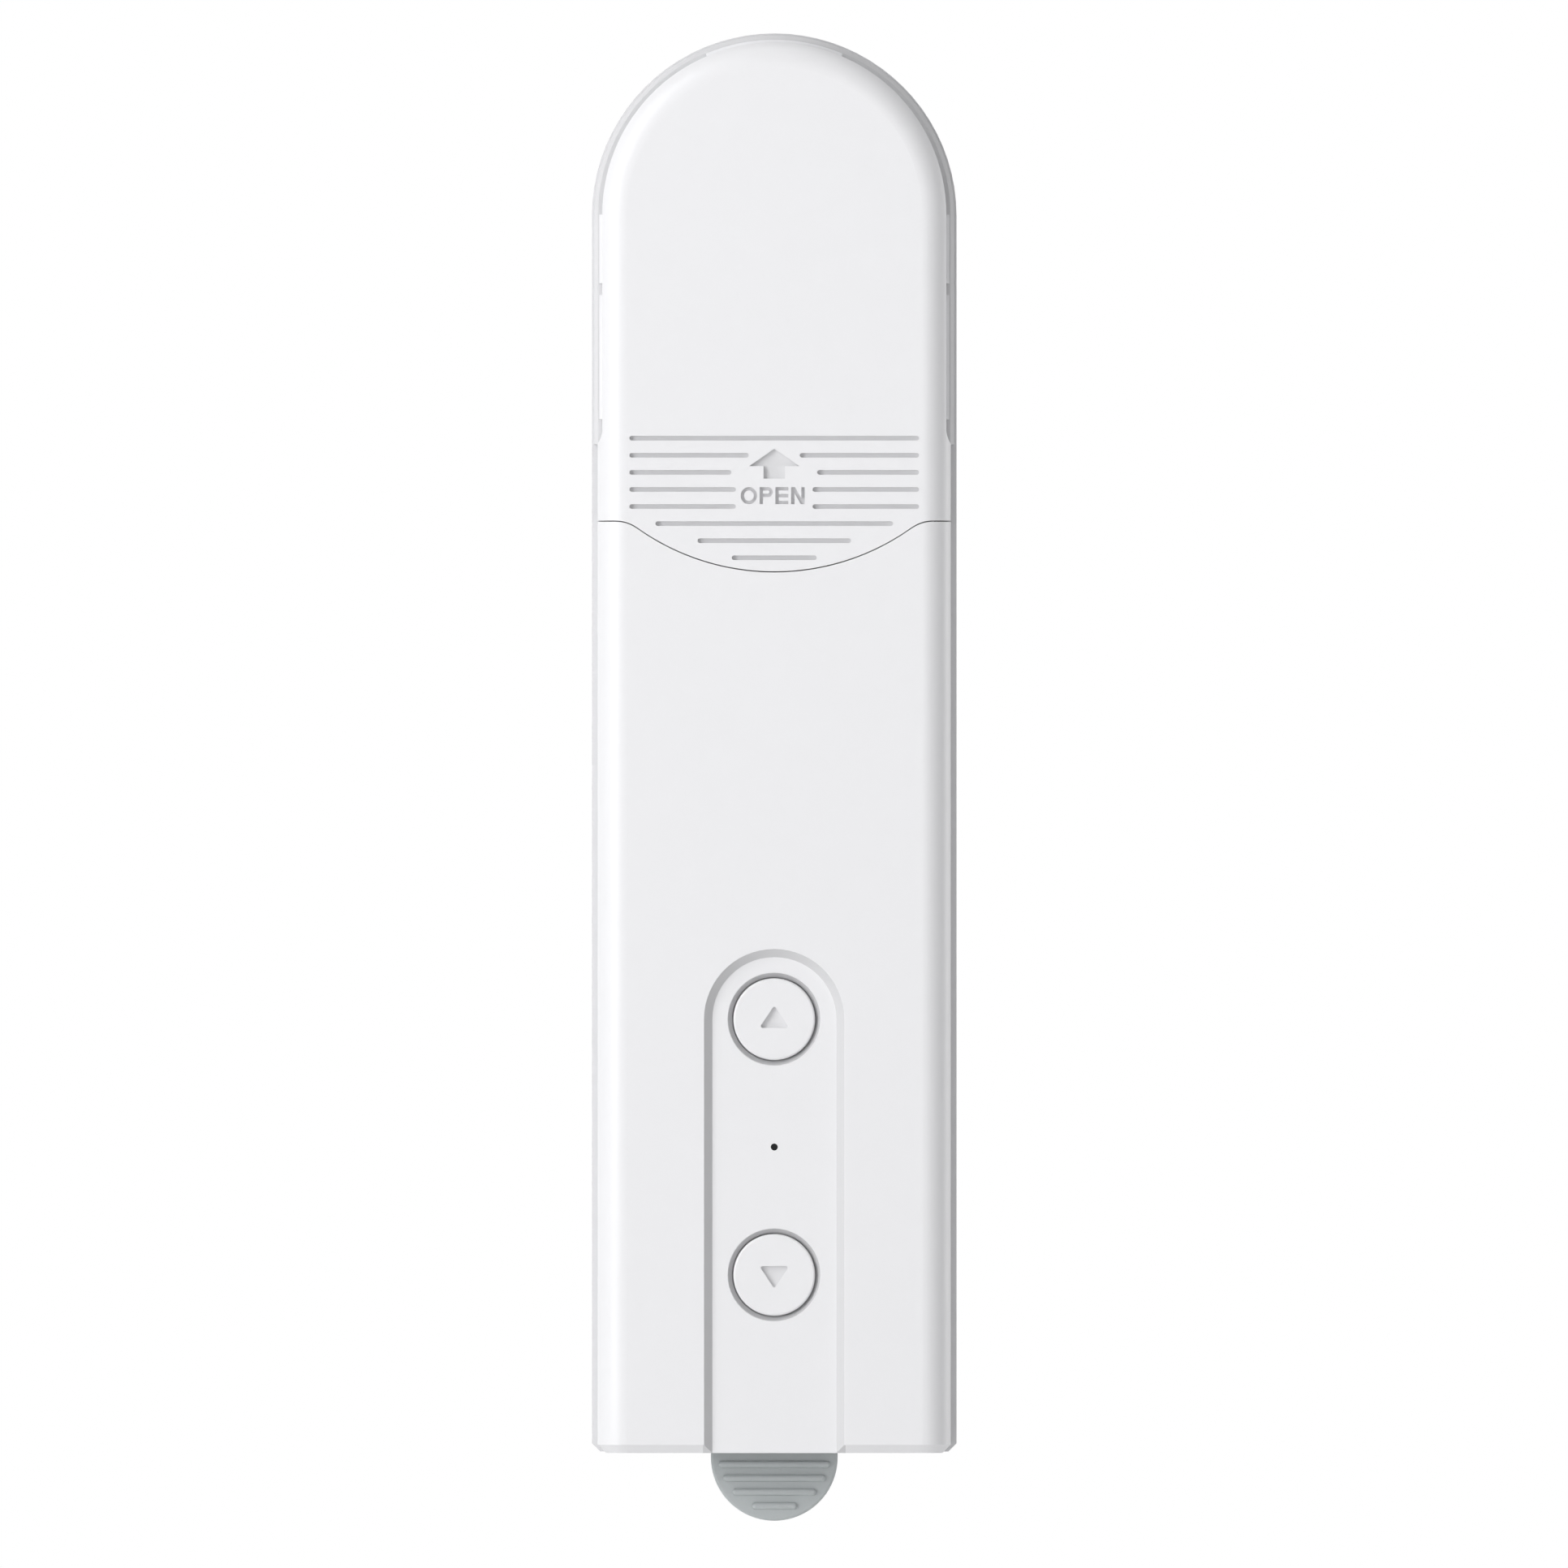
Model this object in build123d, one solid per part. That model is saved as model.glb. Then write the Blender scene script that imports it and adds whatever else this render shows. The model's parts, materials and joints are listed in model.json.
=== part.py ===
from build123d import *
from math import acos, asin, atan2, cos, pi, radians, sin, sqrt, tan
import os

# Roller shade motor that hangs on the wall and drives the bead chain of a roller shade.
# X runs across the body, -Y is the front, the wall is Y = 0 and Z is up. Heights are above the
# lower end of the body. The finished pieces are moved at the end, so that the origin is the
# centre of the wall bracket's two screw holes, on the wall.

# Outer sizes
BODY_W = 40.0
HEAD_H = 135.6
BODY_H = HEAD_H + BODY_W / 2
BODY_DEPTH = 40.0
FRONT_Y = -BODY_DEPTH
WALL_GAP = 0.6
LEDGE_Y = -22.0
BAND_Y = -27.0
WALL = 1.5
SHELL_W = BODY_W - 1.34
COVER_W = BODY_W - 2.32
SKIRT_W = BODY_W - 1.7
BAND_W = BODY_W - 0.54
BAND_CHAMFER = 0.4
BAND_WALL = 1.6
SHELL_EDGE_R = 3.1
END_CHAMFER = 0.9
GAP = 0.3
TONGUE_L = 1.2
TONGUE_T = 0.7
TONGUE_PLAY = 0.1

# Parting line between cover and front shell
PARTING_H = HEAD_H - 33.64
PARTING_DIP = 5.56
PARTING_REACH = BODY_W / 2 - 3.97
PARTING_BLEND = 4.0
PARTING_GAP = 0.12
SCOOP_LOW_H = HEAD_H - 25.1
SCOOP_TOP_H = HEAD_H - 22.4
NOTCH_LOW_H = HEAD_H - 8.8
NOTCH_TOP_H = HEAD_H - 7.5
DECK_T = 1.6
DECK_DROP = 0.2

# Cover details
SKIRT_SECTOR = 23.0
COVER_FACE_WALL = 1.8
COVER_SIDE_WALL = 1.6
COVER_BACK_GAP = 0.3
GROOVE_W = 0.5
GROOVE_DEPTH = 0.5
GROOVE_PITCH = 1.87
GROOVE_TOP_H = HEAD_H - 24.5
GROOVE_HALF = BODY_W / 2 - 4.15
GROOVE_INNER = (2.8, 4.7, 4.2, 4.2)
GROOVE_LOWER = (13.0, 8.4, 4.65)
ARROW_TIP_H = HEAD_H - 25.66
ARROW_HEAD_H = 1.89
ARROW_HALF = 2.74
ARROW_SHAFT_HALF = 1.17
ARROW_LOW_H = HEAD_H - 28.92
WORD_H = 1.86
WORD_LOW_H = HEAD_H - 31.72
WORD_STROKE = 0.36
LETTER_W = (1.79, 1.43, 1.41, 1.48)
LETTER_X = (-2.775, -0.875, 0.835, 2.59)
MARK_DEPTH = 0.5

# Cover rails
RAIL_LOW_H = HEAD_H - 31.6
RAIL_L = 15.0
POST_W = 2.2
POST_SIDE_GAP = 0.29
RIB_REACH = 0.85
LIP_W = 1.0
LIP_T = 1.6
RIB_T = 1.3
RIB_PLAY = 0.2

# Button channel and buttons
CHANNEL_W = 15.4
CHANNEL_BEVEL = 0.93
CHANNEL_WALL = 1.6
BUTTON_HEIGHTS = {"up": 47.5, "down": 19.5}
BUTTON_R = 4.48
BUTTON_GAP = 0.12
MOUTH_W = 0.52
MOUTH_DEPTH = 0.8
BUTTON_EDGE = 0.25
BUTTON_FLANGE_R = 5.3
BUTTON_FLANGE_T = 1.0
BUTTON_STEM_R = 1.8
BUTTON_STEM_L = 1.2
BUTTON_PLAY = 0.1
BUTTON_TRAVEL = 0.4
TRIANGLE_HALF = 1.64
TRIANGLE_H = 2.45
TRIANGLE_SINK = 0.5
TRIANGLE_ROUND = 0.2
LED_H = 33.5
LED_HOLE_R = 0.385

# Chain wheel
BEAD_D = 4.5
BEAD_PITCH = 6.0
GUARD_PLAY = 0.4
GUARD_T = 1.0
GUARD_SIDE_GAP = 1.0
WHEEL_ROOM = COVER_W / 2 - COVER_SIDE_WALL - GUARD_SIDE_GAP - GUARD_T - GUARD_PLAY - BEAD_D / 2
POCKETS = int(pi / asin(BEAD_PITCH / 2 / WHEEL_ROOM))
WHEEL_PITCH_R = BEAD_PITCH / 2 / sin(pi / POCKETS)
WHEEL_R = WHEEL_PITCH_R + 1.6
WHEEL_T = 8.0
WHEEL_GAP = 0.6
CORD_SLOT = 1.8
POCKET_PLAY = 0.25
GUARD_L = 8.8
SHAFT_R = 2.5
WHEEL_SCREW_R = SHAFT_R + 1.0
HUB_R = WHEEL_SCREW_R + 1.5
OUTPUT_HUB_R = SHAFT_R + 1.2
DISH_R = WHEEL_PITCH_R - 2.94
DISH_DEPTH = 2.4
SHAFT_FLAT = 0.5
SHAFT_BACK_Y = -8.0
BEARING_PLAY = 0.05
FRONT_BUSH_R = SHAFT_R + 1.3
REAR_BUSH_R = SHAFT_R + 1.1
BUSH_FLANGE = 0.8
SCREW_THREAD_R = 1.0

# Gear train, from the motor to the wheel shaft
PIN_R = 1.0
PINION_TEETH = 12
GEAR_TEETH = (48, 44, 40, 36)
MODULES = (0.5, 0.5, 0.6, 0.7)
ZIGZAG = 5.0
PLATE_Y = -8.6
PLATE_T = 1.4
LAYERS = ((-10.4, -12.8), (-13.4, -15.8), (-16.6, -19.2), (-20.0, -23.4))
LAYER_GAP = 0.4
TOOTH_SHARE = 0.43
ADDENDUM = 0.8
DEDENDUM = 1.2
PRESSURE_ANGLE = 20.0
GEAR_HUB_R = 2.0
HUB_END_GAP = 0.1
PIN_SEAT = 0.8
ENCODER_R = 6.5
ENCODER_Y = (-12.4, -14.4)
ENCODER_BOARD_HALF = 8.0
ENCODER_BOARD_T = 0.8

# Motor
MOTOR_R = 10.2
MOTOR_FLAT_HALF = 7.6
MOTOR_Y = (-14.6, -37.2)
MOTOR_SHAFT_R = 1.0
MOTOR_SEAT_T = 1.4
MOTOR_SCREW_X = 6.1
MOTOR_SCREW_DROP = 2.35
MOTOR_SCREW_R = 0.8
MOTOR_SCREW_L = 3.0

# Battery cells
CELL_R = 9.15
CELL_L = 65.2
CELL_PLAY = 0.025
CELL_LOW_H = 3.9
CELL_Y = -16.6
STRIP_T = 0.3
TRAY_SPINE_HALF = 2.0
TRAY_SPINE_Y = (-9.4, -10.7)
TRAY_END_T = 1.0
TRAY_HALF = BODY_W / 2 - 2.8
TRAY_TOP_HALF = 11.5

# Circuit boards
BOARD_Y = -30.4
BOARD_T = 1.0
BOARD_HALF = 15.0
BOARD_H = (2.0, 66.0)
BOARD_POST_X = 12.5
BOARD_POSTS_H = (10.0, 61.0)
BOARD_POST_R = 1.8
BOARD_PIN_R = 0.9
SWITCH_W = 6.0
SWITCH_T = 3.1
PLUNGER_R = 1.0
PLUNGER_IN = 1.0
USB_W = 8.94
USB_T = 3.26
USB_L = 7.3
USB_SHEET = 0.35
LEAD_R = 0.6
LEAD_BEND = 1.6

# Screws
SCREW_R = 1.1
SCREW_HEAD_R = 2.0
SCREW_HEAD_T = 1.4
SCREW_HEAD_Y = -7.2
SCREW_BOSS_R = 2.2
SCREW_BASE_R = 3.0
SCREW_BASE_T = 1.1
SCREW_BITE = 7.0
HOUSING_SCREW_X = BODY_W / 2 - 5.2
HOUSING_SCREW_RISE = 4.4
GEARBOX_BOSS_R = 1.9
GEARBOX_SCREW_RING = BODY_W / 2 - 4.1
GEARBOX_SCREW_ANGLE = 50.0
SIDE_SCREW_DROP = 14.6

# Wall bracket and its T rail
BRACKET_H = (24.0, HEAD_H - 1.6)
BRACKET_BASE_HALF = 12.0
BRACKET_HEAD_HALF = 15.0
BRACKET_BASE_T = 2.1
BRACKET_T = 4.5
RAIL_PLAY = 0.3
BACK_GAP = 0.5
MOUNT_H = (BRACKET_H[0] + BRACKET_H[1]) / 2 + 1
HOLE_SPACING = 64.0
HOLE_R = 2.25
HOLE_SINK = 1.1
RACK_HALF = 4.5
RACK_TOP_H = 44.0
RACK_PITCH = 2.0
RACK_TOOTH = 0.9
RACK_FLOOR_Y = -2.0
PAD_T = 0.8
PAD_HALF = 9.0
PAD_H = 18.0
PAD_CENTRE = 15.0
TENSION_TRAVEL = 12.0

# Release tab
TAB_R = 6.97
TAB_CENTRE_H = -0.78
TAB_Y = (-5.0, -7.4)
TAB_TOP_H = 2.0
TAB_EDGE = 0.3
ARM_HALF = 3.0
ARM_Y = (-5.2, -7.0)
ARM_TOP_H = 40.0
TAB_PIN_H = 20.0
TAB_PIN_Y = -5.75
TAB_PIN_R = 0.6
TAB_PIN_HALF = 5.0
TAB_BOSS_R = 1.15
RIB_TOP_H = -1.55
RIB_STEP = 1.52
TAB_RIBS = 4
TAB_RIB_W = 0.78
TAB_RIB_OUT = 0.5
TAB_RIB_INSET = 0.73
TAB_RIB_ROUND = 0.36
LEAF_T = 0.4
LEAF_HALF = 2.5
LEAF_LOW_H = 28.0
SPRING_R = 1.3
SPRING_WIRE = 0.4
SPRING_TURNS = 3
SPRING_H = 34.0

# Places that follow from the sizes above
INNER_HALF = BODY_W / 2 - WALL
BACK_Y = -BRACKET_T - BACK_GAP
FLOOR_Y = BACK_Y - WALL
FACE_IN_Y = FRONT_Y + COVER_FACE_WALL
CHANNEL_FLOOR_Y = FRONT_Y + CHANNEL_BEVEL
CHANNEL_IN_Y = CHANNEL_FLOOR_Y + CHANNEL_WALL
COVER_BACK_Y = BAND_Y - COVER_BACK_GAP
PARTITION_IN_Y = BAND_Y + BAND_WALL
SHELL_IN_HALF = SHELL_W / 2 - WALL
SMILE_LOW_H = PARTING_H - PARTING_DIP
DECK_TOP_H = SMILE_LOW_H - DECK_DROP
WHEEL_BACK_Y = BAND_Y - WHEEL_GAP
WHEEL_FRONT_Y = WHEEL_BACK_Y - WHEEL_T
GUARD_R = WHEEL_PITCH_R + BEAD_D / 2 + GUARD_PLAY
COVER_IN_HALF = COVER_W / 2 - COVER_SIDE_WALL
RIB_IN_X = COVER_IN_HALF - RIB_REACH
POST_X = RIB_IN_X - POST_SIDE_GAP - POST_W
BOARD_FRONT_Y = BOARD_Y - BOARD_T
SWITCH_FRONT_Y = BOARD_FRONT_Y - SWITCH_T
FLANGE_FRONT_Y = CHANNEL_IN_Y + BUTTON_PLAY
FLANGE_BACK_Y = FLANGE_FRONT_Y + BUTTON_FLANGE_T
STEM_BACK_Y = FLANGE_BACK_Y + BUTTON_STEM_L
PLATE_FRONT_Y = PLATE_Y - PLATE_T
SEAT_Y = MOTOR_Y[0] + MOTOR_SEAT_T
CELL_X = CELL_R + CELL_PLAY
CELL_TOP_H = CELL_LOW_H + CELL_L


# Helpers

def box(x, y, z):
    """A box between two values along each axis."""
    centre = ((x[0] + x[1]) / 2, (y[0] + y[1]) / 2, (z[0] + z[1]) / 2)
    return Pos(*centre) * Box(abs(x[1] - x[0]), abs(y[1] - y[0]), abs(z[1] - z[0]))


def mirrored(shape):
    """A shape together with its mirror image across the body's middle."""
    return shape + mirror(shape, about=Plane.YZ)


def rod(x, z, r, y0, y1):
    """A round bar along Y."""
    return Pos(x, (y0 + y1) / 2, z) * Rot(90, 0, 0) * Cylinder(r, abs(y0 - y1))


def cross_rod(y, z, r, half):
    """A round bar along X."""
    return Pos(0, y, z) * Rot(0, 90, 0) * Cylinder(r, 2 * half)


def slab(face, back, front):
    """A face drawn in X and Z, made solid between two depths."""
    plane = Plane(origin=(0, back, 0), x_dir=(1, 0, 0), z_dir=(0, -1, 0))
    return extrude(plane * face, amount=back - front)


def arch(half, low):
    """The body's outline from the front: straight sides and a half-round top."""
    sides = [
        Line((-half, low), (half, low)),
        Line((half, low), (half, HEAD_H)),
        ThreePointArc((half, HEAD_H), (0, HEAD_H + half), (-half, HEAD_H)),
        Line((-half, HEAD_H), (-half, low)),
    ]
    return make_face(Wire(sides))


def sector(r, start, end):
    """A pie slice about the wheel's axis, between two angles from +X."""
    def point(angle):
        return (r * cos(radians(angle)), HEAD_H + r * sin(radians(angle)))
    arc = ThreePointArc(point(start), point((start + end) / 2), point(end))
    return make_face(Wire([Line((0, HEAD_H), point(start)), arc, Line(point(end), (0, HEAD_H))]))


def below_parting(drop):
    """The region under the parting line, lowered by a clearance."""
    far = BODY_H
    top = PARTING_H - drop
    low = SMILE_LOW_H - drop
    sides = [
        Line((-far, -far), (far, -far)),
        Line((far, -far), (far, top)),
        Line((far, top), (PARTING_REACH, top)),
        ThreePointArc((PARTING_REACH, top), (0, low), (-PARTING_REACH, top)),
        Line((-PARTING_REACH, top), (-far, top)),
        Line((-far, top), (-far, -far)),
    ]
    region = make_face(Wire(sides))
    corners = region.vertices().filter_by(lambda v: abs(v.X) < PARTING_REACH + 1)
    return fillet(corners, PARTING_BLEND)


def front_block(half, edge_r, back, low):
    """A block with the body's outline and a rounded front edge."""
    block = slab(arch(half, low), back, FRONT_Y)
    front = block.faces().sort_by(Axis.Y)[0]
    edges = front.edges().filter_by(lambda e: e.center().Z > low + 0.01)
    return fillet(edges, edge_r)


def gear_centres():
    """Places of the motor, the three gear pins and the wheel shaft, from the motor up."""
    places = [(0, HEAD_H)]
    for number in (3, 2, 1, 0):
        x = 0 if number == 0 else (-ZIGZAG if number % 2 else ZIGZAG)
        reach = (PINION_TEETH + GEAR_TEETH[number]) * MODULES[number] / 2
        last_x, last_z = places[-1]
        places.append((x, last_z - sqrt(reach**2 - (x - last_x) ** 2)))
    return places[::-1]


CENTRES = gear_centres()
MOTOR_H = CENTRES[0][1]
ring = radians(GEARBOX_SCREW_ANGLE)
ring_x = GEARBOX_SCREW_RING * cos(ring)
ring_z = HEAD_H + GEARBOX_SCREW_RING * sin(ring)
side_screw = (GEARBOX_SCREW_RING, HEAD_H - SIDE_SCREW_DROP)
GEARBOX_SCREWS = ((-ring_x, ring_z), (ring_x, ring_z), side_screw)
housing_screw_h = CELL_TOP_H + HOUSING_SCREW_RISE
HOUSING_SCREWS = ((-HOUSING_SCREW_X, housing_screw_h), (HOUSING_SCREW_X, housing_screw_h))


# Housing pieces

def rear_housing():
    """The rear shell, with the T channel for the bracket and the screw bosses."""
    half = BODY_W / 2
    body = slab(arch(half, 0), -WALL_GAP, LEDGE_Y)
    outside = body.edges().filter_by(lambda e: e.center().Y > -WALL_GAP - 0.1)
    low_edges = body.faces().sort_by(Axis.Z)[0].edges()
    outside += low_edges.filter_by(lambda e: LEDGE_Y + 0.1 < e.center().Y < -WALL_GAP - 0.1)
    body = chamfer(outside, END_CHAMFER)
    body -= slab(arch(half - WALL, WALL), FLOOR_Y, LEDGE_Y)
    top = BRACKET_H[1] + TENSION_TRAVEL + RAIL_PLAY
    neck = BRACKET_BASE_HALF + RAIL_PLAY
    head = BRACKET_HEAD_HALF + RAIL_PLAY
    body -= box((-neck, neck), (0, BACK_Y), (-1, top))
    body -= box((-head, head), (-BRACKET_BASE_T + RAIL_PLAY, BACK_Y), (-1, top))
    tab = TAB_R + GAP
    body -= box((-tab, tab), (0, TAB_Y[1] - TAB_RIB_OUT - GAP), (-1, TAB_TOP_H + 2 * GAP))
    arm = ARM_HALF + GAP
    body -= box((-arm, arm), (BACK_Y + 1, FLOOR_Y - 1), (1, ARM_TOP_H + 4))
    body -= cross_rod(TAB_PIN_Y, TAB_PIN_H, TAB_PIN_R, TAB_PIN_HALF)
    room = slab(arch(half - WALL / 2, WALL), FLOOR_Y, LEDGE_Y)
    for x, z in HOUSING_SCREWS:
        body += rod(x, z, SCREW_BOSS_R, FLOOR_Y, LEDGE_Y)
        body += rod(x, z, SCREW_BASE_R, FLOOR_Y, SCREW_HEAD_Y - SCREW_BASE_T)
        body -= rod(x, z, SCREW_R + 0.1, 0, LEDGE_Y - 1)
        body -= rod(x, z, SCREW_HEAD_R + 0.2, 0, SCREW_HEAD_Y)
    for x, z in GEARBOX_SCREWS:
        body += rod(x, z, GEARBOX_BOSS_R, FLOOR_Y, PLATE_Y)
        body += rod(x, z, SCREW_BASE_R, FLOOR_Y, FLOOR_Y - SCREW_BASE_T) & room
        body -= rod(x, z, SCREW_R, 0, PLATE_Y - 1)
        body -= rod(x, z, SCREW_HEAD_R + 0.2, 0, BACK_Y - SCREW_HEAD_T)
    return body


def tongue(low, trim):
    """A thin lip that reaches into the rear shell and keeps the two in line."""
    out = INNER_HALF - TONGUE_PLAY
    lip = slab(arch(out, low), LEDGE_Y + TONGUE_L, LEDGE_Y)
    lip -= slab(arch(out - TONGUE_T, low - 5), LEDGE_Y + TONGUE_L, LEDGE_Y)
    return lip & trim


def front_shell():
    """The lower front shell, with the button channel, the deck under the cover and its posts."""
    outer = front_block(SHELL_W / 2, SHELL_EDGE_R, LEDGE_Y, 0)
    low_edges = outer.faces().sort_by(Axis.Z)[0].edges()
    outer = chamfer(low_edges.filter_by(lambda e: e.center().Y < LEDGE_Y - 0.1), END_CHAMFER)
    shell = outer & slab(below_parting(0), LEDGE_Y, FRONT_Y)
    inside = box((-SHELL_IN_HALF, SHELL_IN_HALF), (LEDGE_Y, FACE_IN_Y), (WALL, BODY_H))
    pad_half = CHANNEL_W / 2 + 1
    pad = box((-pad_half, pad_half), (CHANNEL_IN_Y, FACE_IN_Y),
              (WALL, BUTTON_HEIGHTS["up"] + pad_half))
    shell -= inside - pad
    deck = box((-SHELL_IN_HALF, SHELL_IN_HALF), (BAND_Y - TONGUE_PLAY, FACE_IN_Y),
               (DECK_TOP_H - DECK_T, DECK_TOP_H))
    shell += deck
    lip_zone = box((-BODY_W, BODY_W), (0, FRONT_Y), (WALL + TONGUE_PLAY, DECK_TOP_H - DECK_T))
    shell += tongue(WALL + TONGUE_PLAY, lip_zone)
    shell += tongue_root()
    shell -= channel()
    for height in BUTTON_HEIGHTS.values():
        hole_r = BUTTON_R + BUTTON_GAP
        shell -= rod(0, height, hole_r, CHANNEL_IN_Y + 1, FRONT_Y)
        mouth = Pos(0, CHANNEL_FLOOR_Y + MOUTH_DEPTH / 2, height) * Rot(90, 0, 0)
        shell -= mouth * Cone(hole_r, hole_r + MOUTH_W, MOUTH_DEPTH)
    shell -= rod(0, LED_H, LED_HOLE_R, CHANNEL_IN_Y + 1, FRONT_Y)
    slot = Pos(0, (BOARD_FRONT_Y * 2 - USB_T) / 2, 0) * SlotOverall(USB_W + 0.5, USB_T + 0.5)
    shell -= extrude(slot, amount=2 * WALL)
    for x, z in HOUSING_SCREWS:
        shell += rod(x, z, SCREW_BOSS_R, LEDGE_Y, FACE_IN_Y)
        shell -= rod(x, z, SCREW_R, LEDGE_Y + 1, LEDGE_Y - SCREW_BITE - 1)
    for z in BOARD_POSTS_H:
        for side in (-1, 1):
            x = side * BOARD_POST_X
            shell += rod(x, z, BOARD_POST_R, BOARD_FRONT_Y, FACE_IN_Y)
            shell += rod(x, z, BOARD_PIN_R, BOARD_Y + 0.4, BOARD_FRONT_Y)
    return shell


def tongue_root():
    """The seat that joins the tongue to the front shell's side walls."""
    out = INNER_HALF - TONGUE_PLAY
    seat = box((SHELL_IN_HALF - 1, out), (LEDGE_Y, LEDGE_Y - 1.0),
               (WALL + TONGUE_PLAY, DECK_TOP_H - DECK_T))
    inner = box((0, out - TONGUE_T), (LEDGE_Y, LEDGE_Y - 2), (0, BODY_H))
    return mirrored(seat - inner)


def channel():
    """The sunk channel that holds the buttons, with its sloped rim, open at the lower end."""
    half, centre, low = CHANNEL_W / 2, BUTTON_HEIGHTS["up"], -CHANNEL_W
    sides = [
        Line((-half, low), (half, low)),
        Line((half, low), (half, centre)),
        ThreePointArc((half, centre), (0, centre + half), (-half, centre)),
        Line((-half, centre), (-half, low)),
    ]
    front = Plane(origin=(0, FRONT_Y, 0), x_dir=(1, 0, 0), z_dir=(0, -1, 0))
    return extrude(front * make_face(Wire(sides)), amount=-CHANNEL_BEVEL, taper=45)


def gearbox_housing():
    """The wall round the gear train, with the partition, chain guard and cover rails in front."""
    upper = slab(arch(BAND_W / 2, SCOOP_LOW_H), LEDGE_Y, BAND_Y)
    rim = upper.faces().sort_by(Axis.Y)[0].edges().filter_by(lambda e: e.center().Z > SCOOP_LOW_H + 1)
    upper = chamfer(rim, BAND_CHAMFER)
    side_low = PARTING_H + PARTING_GAP
    body = upper + box((-SHELL_W / 2, SHELL_W / 2), (LEDGE_Y, BAND_Y), (side_low, SCOOP_LOW_H))
    inner = BAND_W / 2 - BAND_WALL
    body -= slab(arch(inner, 0), LEDGE_Y + 1, PARTITION_IN_Y)
    apron = SHELL_IN_HALF - GAP
    body += box((-apron, apron), (PARTITION_IN_Y, BAND_Y), (DECK_TOP_H - DECK_T, side_low + 1))
    lip_zone = box((-BODY_W, BODY_W), (0, FRONT_Y), (side_low, BODY_H))
    body += tongue(side_low, lip_zone)
    body += slab(arch(INNER_HALF - TONGUE_PLAY, side_low) - arch(inner - 0.4, 0),
                 LEDGE_Y, LEDGE_Y - 1)
    body += rod(0, HEAD_H, FRONT_BUSH_R + 1.4, PARTITION_IN_Y + 1.2, PARTITION_IN_Y)
    body -= rod(0, HEAD_H, FRONT_BUSH_R, PARTITION_IN_Y + 2, BAND_Y - 1)
    for x, z in GEARBOX_SCREWS:
        body += rod(x, z, GEARBOX_BOSS_R, PLATE_FRONT_Y, PARTITION_IN_Y)
        body -= rod(x, z, SCREW_R, 0, PLATE_FRONT_Y - SCREW_BITE)
    for x, z in CENTRES[1:4]:
        body -= rod(x, z, PIN_R, 0, PARTITION_IN_Y - PIN_SEAT)
    guard = sector(GUARD_R + GUARD_T, 180, 360) - sector(GUARD_R, 180, 360)
    body += slab(guard, BAND_Y, BAND_Y - GUARD_L)
    body += mirrored(cover_rail())
    return body


def cover_rail():
    """One post on the partition, with a lip that the cover's rib slides behind."""
    heights = (RAIL_LOW_H, RAIL_LOW_H + RAIL_L)
    lip_back = COVER_BACK_Y - GAP - RIB_T - RIB_PLAY
    post = box((POST_X, POST_X + POST_W), (BAND_Y, lip_back - LIP_T), heights)
    lip = box((POST_X + POST_W, POST_X + POST_W + LIP_W), (lip_back, lip_back - LIP_T), heights)
    return post + lip


def chain_cover():
    """The cover over the chain wheel. It slides up and off."""
    block = front_block(SHELL_W / 2, SHELL_EDGE_R, COVER_BACK_Y, SMILE_LOW_H - 5)
    trim = arch(COVER_W / 2, 0)
    trim += Pos(0, SCOOP_LOW_H / 2) * Rectangle(BODY_W, SCOOP_LOW_H)
    trim += scoop_flare() + mirror(scoop_flare(), about=Plane.YZ)
    cover = block & slab(trim, 0, FRONT_Y - 1)
    skirt_front = FRONT_Y + SHELL_EDGE_R
    skirt = slab(arch(SKIRT_W / 2, SCOOP_TOP_H), COVER_BACK_Y, skirt_front)
    skirt -= box((-BODY_W, BODY_W), (0, FRONT_Y), (NOTCH_LOW_H, NOTCH_TOP_H))
    cover += skirt
    cover -= slab(below_parting(-PARTING_GAP), 0, FRONT_Y - 1)
    cover -= slab(arch(COVER_IN_HALF, 0), 0, FACE_IN_Y)
    for start in (0, 90 + SKIRT_SECTOR):
        window = sector(BODY_W, start, start + 90 - SKIRT_SECTOR)
        cover -= slab(window, COVER_BACK_Y + 1, skirt_front)
    rib_y = (COVER_BACK_Y - GAP, COVER_BACK_Y - GAP - RIB_T)
    rib = box((RIB_IN_X, COVER_IN_HALF + 0.5), rib_y, (RAIL_LOW_H, RAIL_LOW_H + RAIL_L))
    cover += mirrored(rib)
    cover -= slab(cover_marks(), FRONT_Y + MARK_DEPTH, FRONT_Y - 1)
    cover -= slab(grip_grooves(), FRONT_Y + GROOVE_DEPTH, FRONT_Y - 1)
    return cover


def scoop_flare():
    """The concave step where the cover's side widens to the shell's width."""
    wide, narrow = SHELL_W / 2, COVER_W / 2
    rise = SCOOP_TOP_H - SCOOP_LOW_H
    base = SCOOP_LOW_H - 0.5
    sides = [
        Line((narrow - 0.5, base), (wide, base)),
        Line((wide, base), (wide, SCOOP_LOW_H)),
        ThreePointArc((wide, SCOOP_LOW_H), (narrow + 0.12, SCOOP_LOW_H + 0.3 * rise),
                      (narrow, SCOOP_LOW_H + 0.8 * rise)),
        Line((narrow, SCOOP_LOW_H + 0.8 * rise), (narrow - 0.5, base)),
    ]
    return make_face(Wire(sides))


def groove(x0, x1, height):
    """One rounded groove between two places along X."""
    return Pos((x0 + x1) / 2, height) * SlotOverall(x1 - x0, GROOVE_W)


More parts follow.
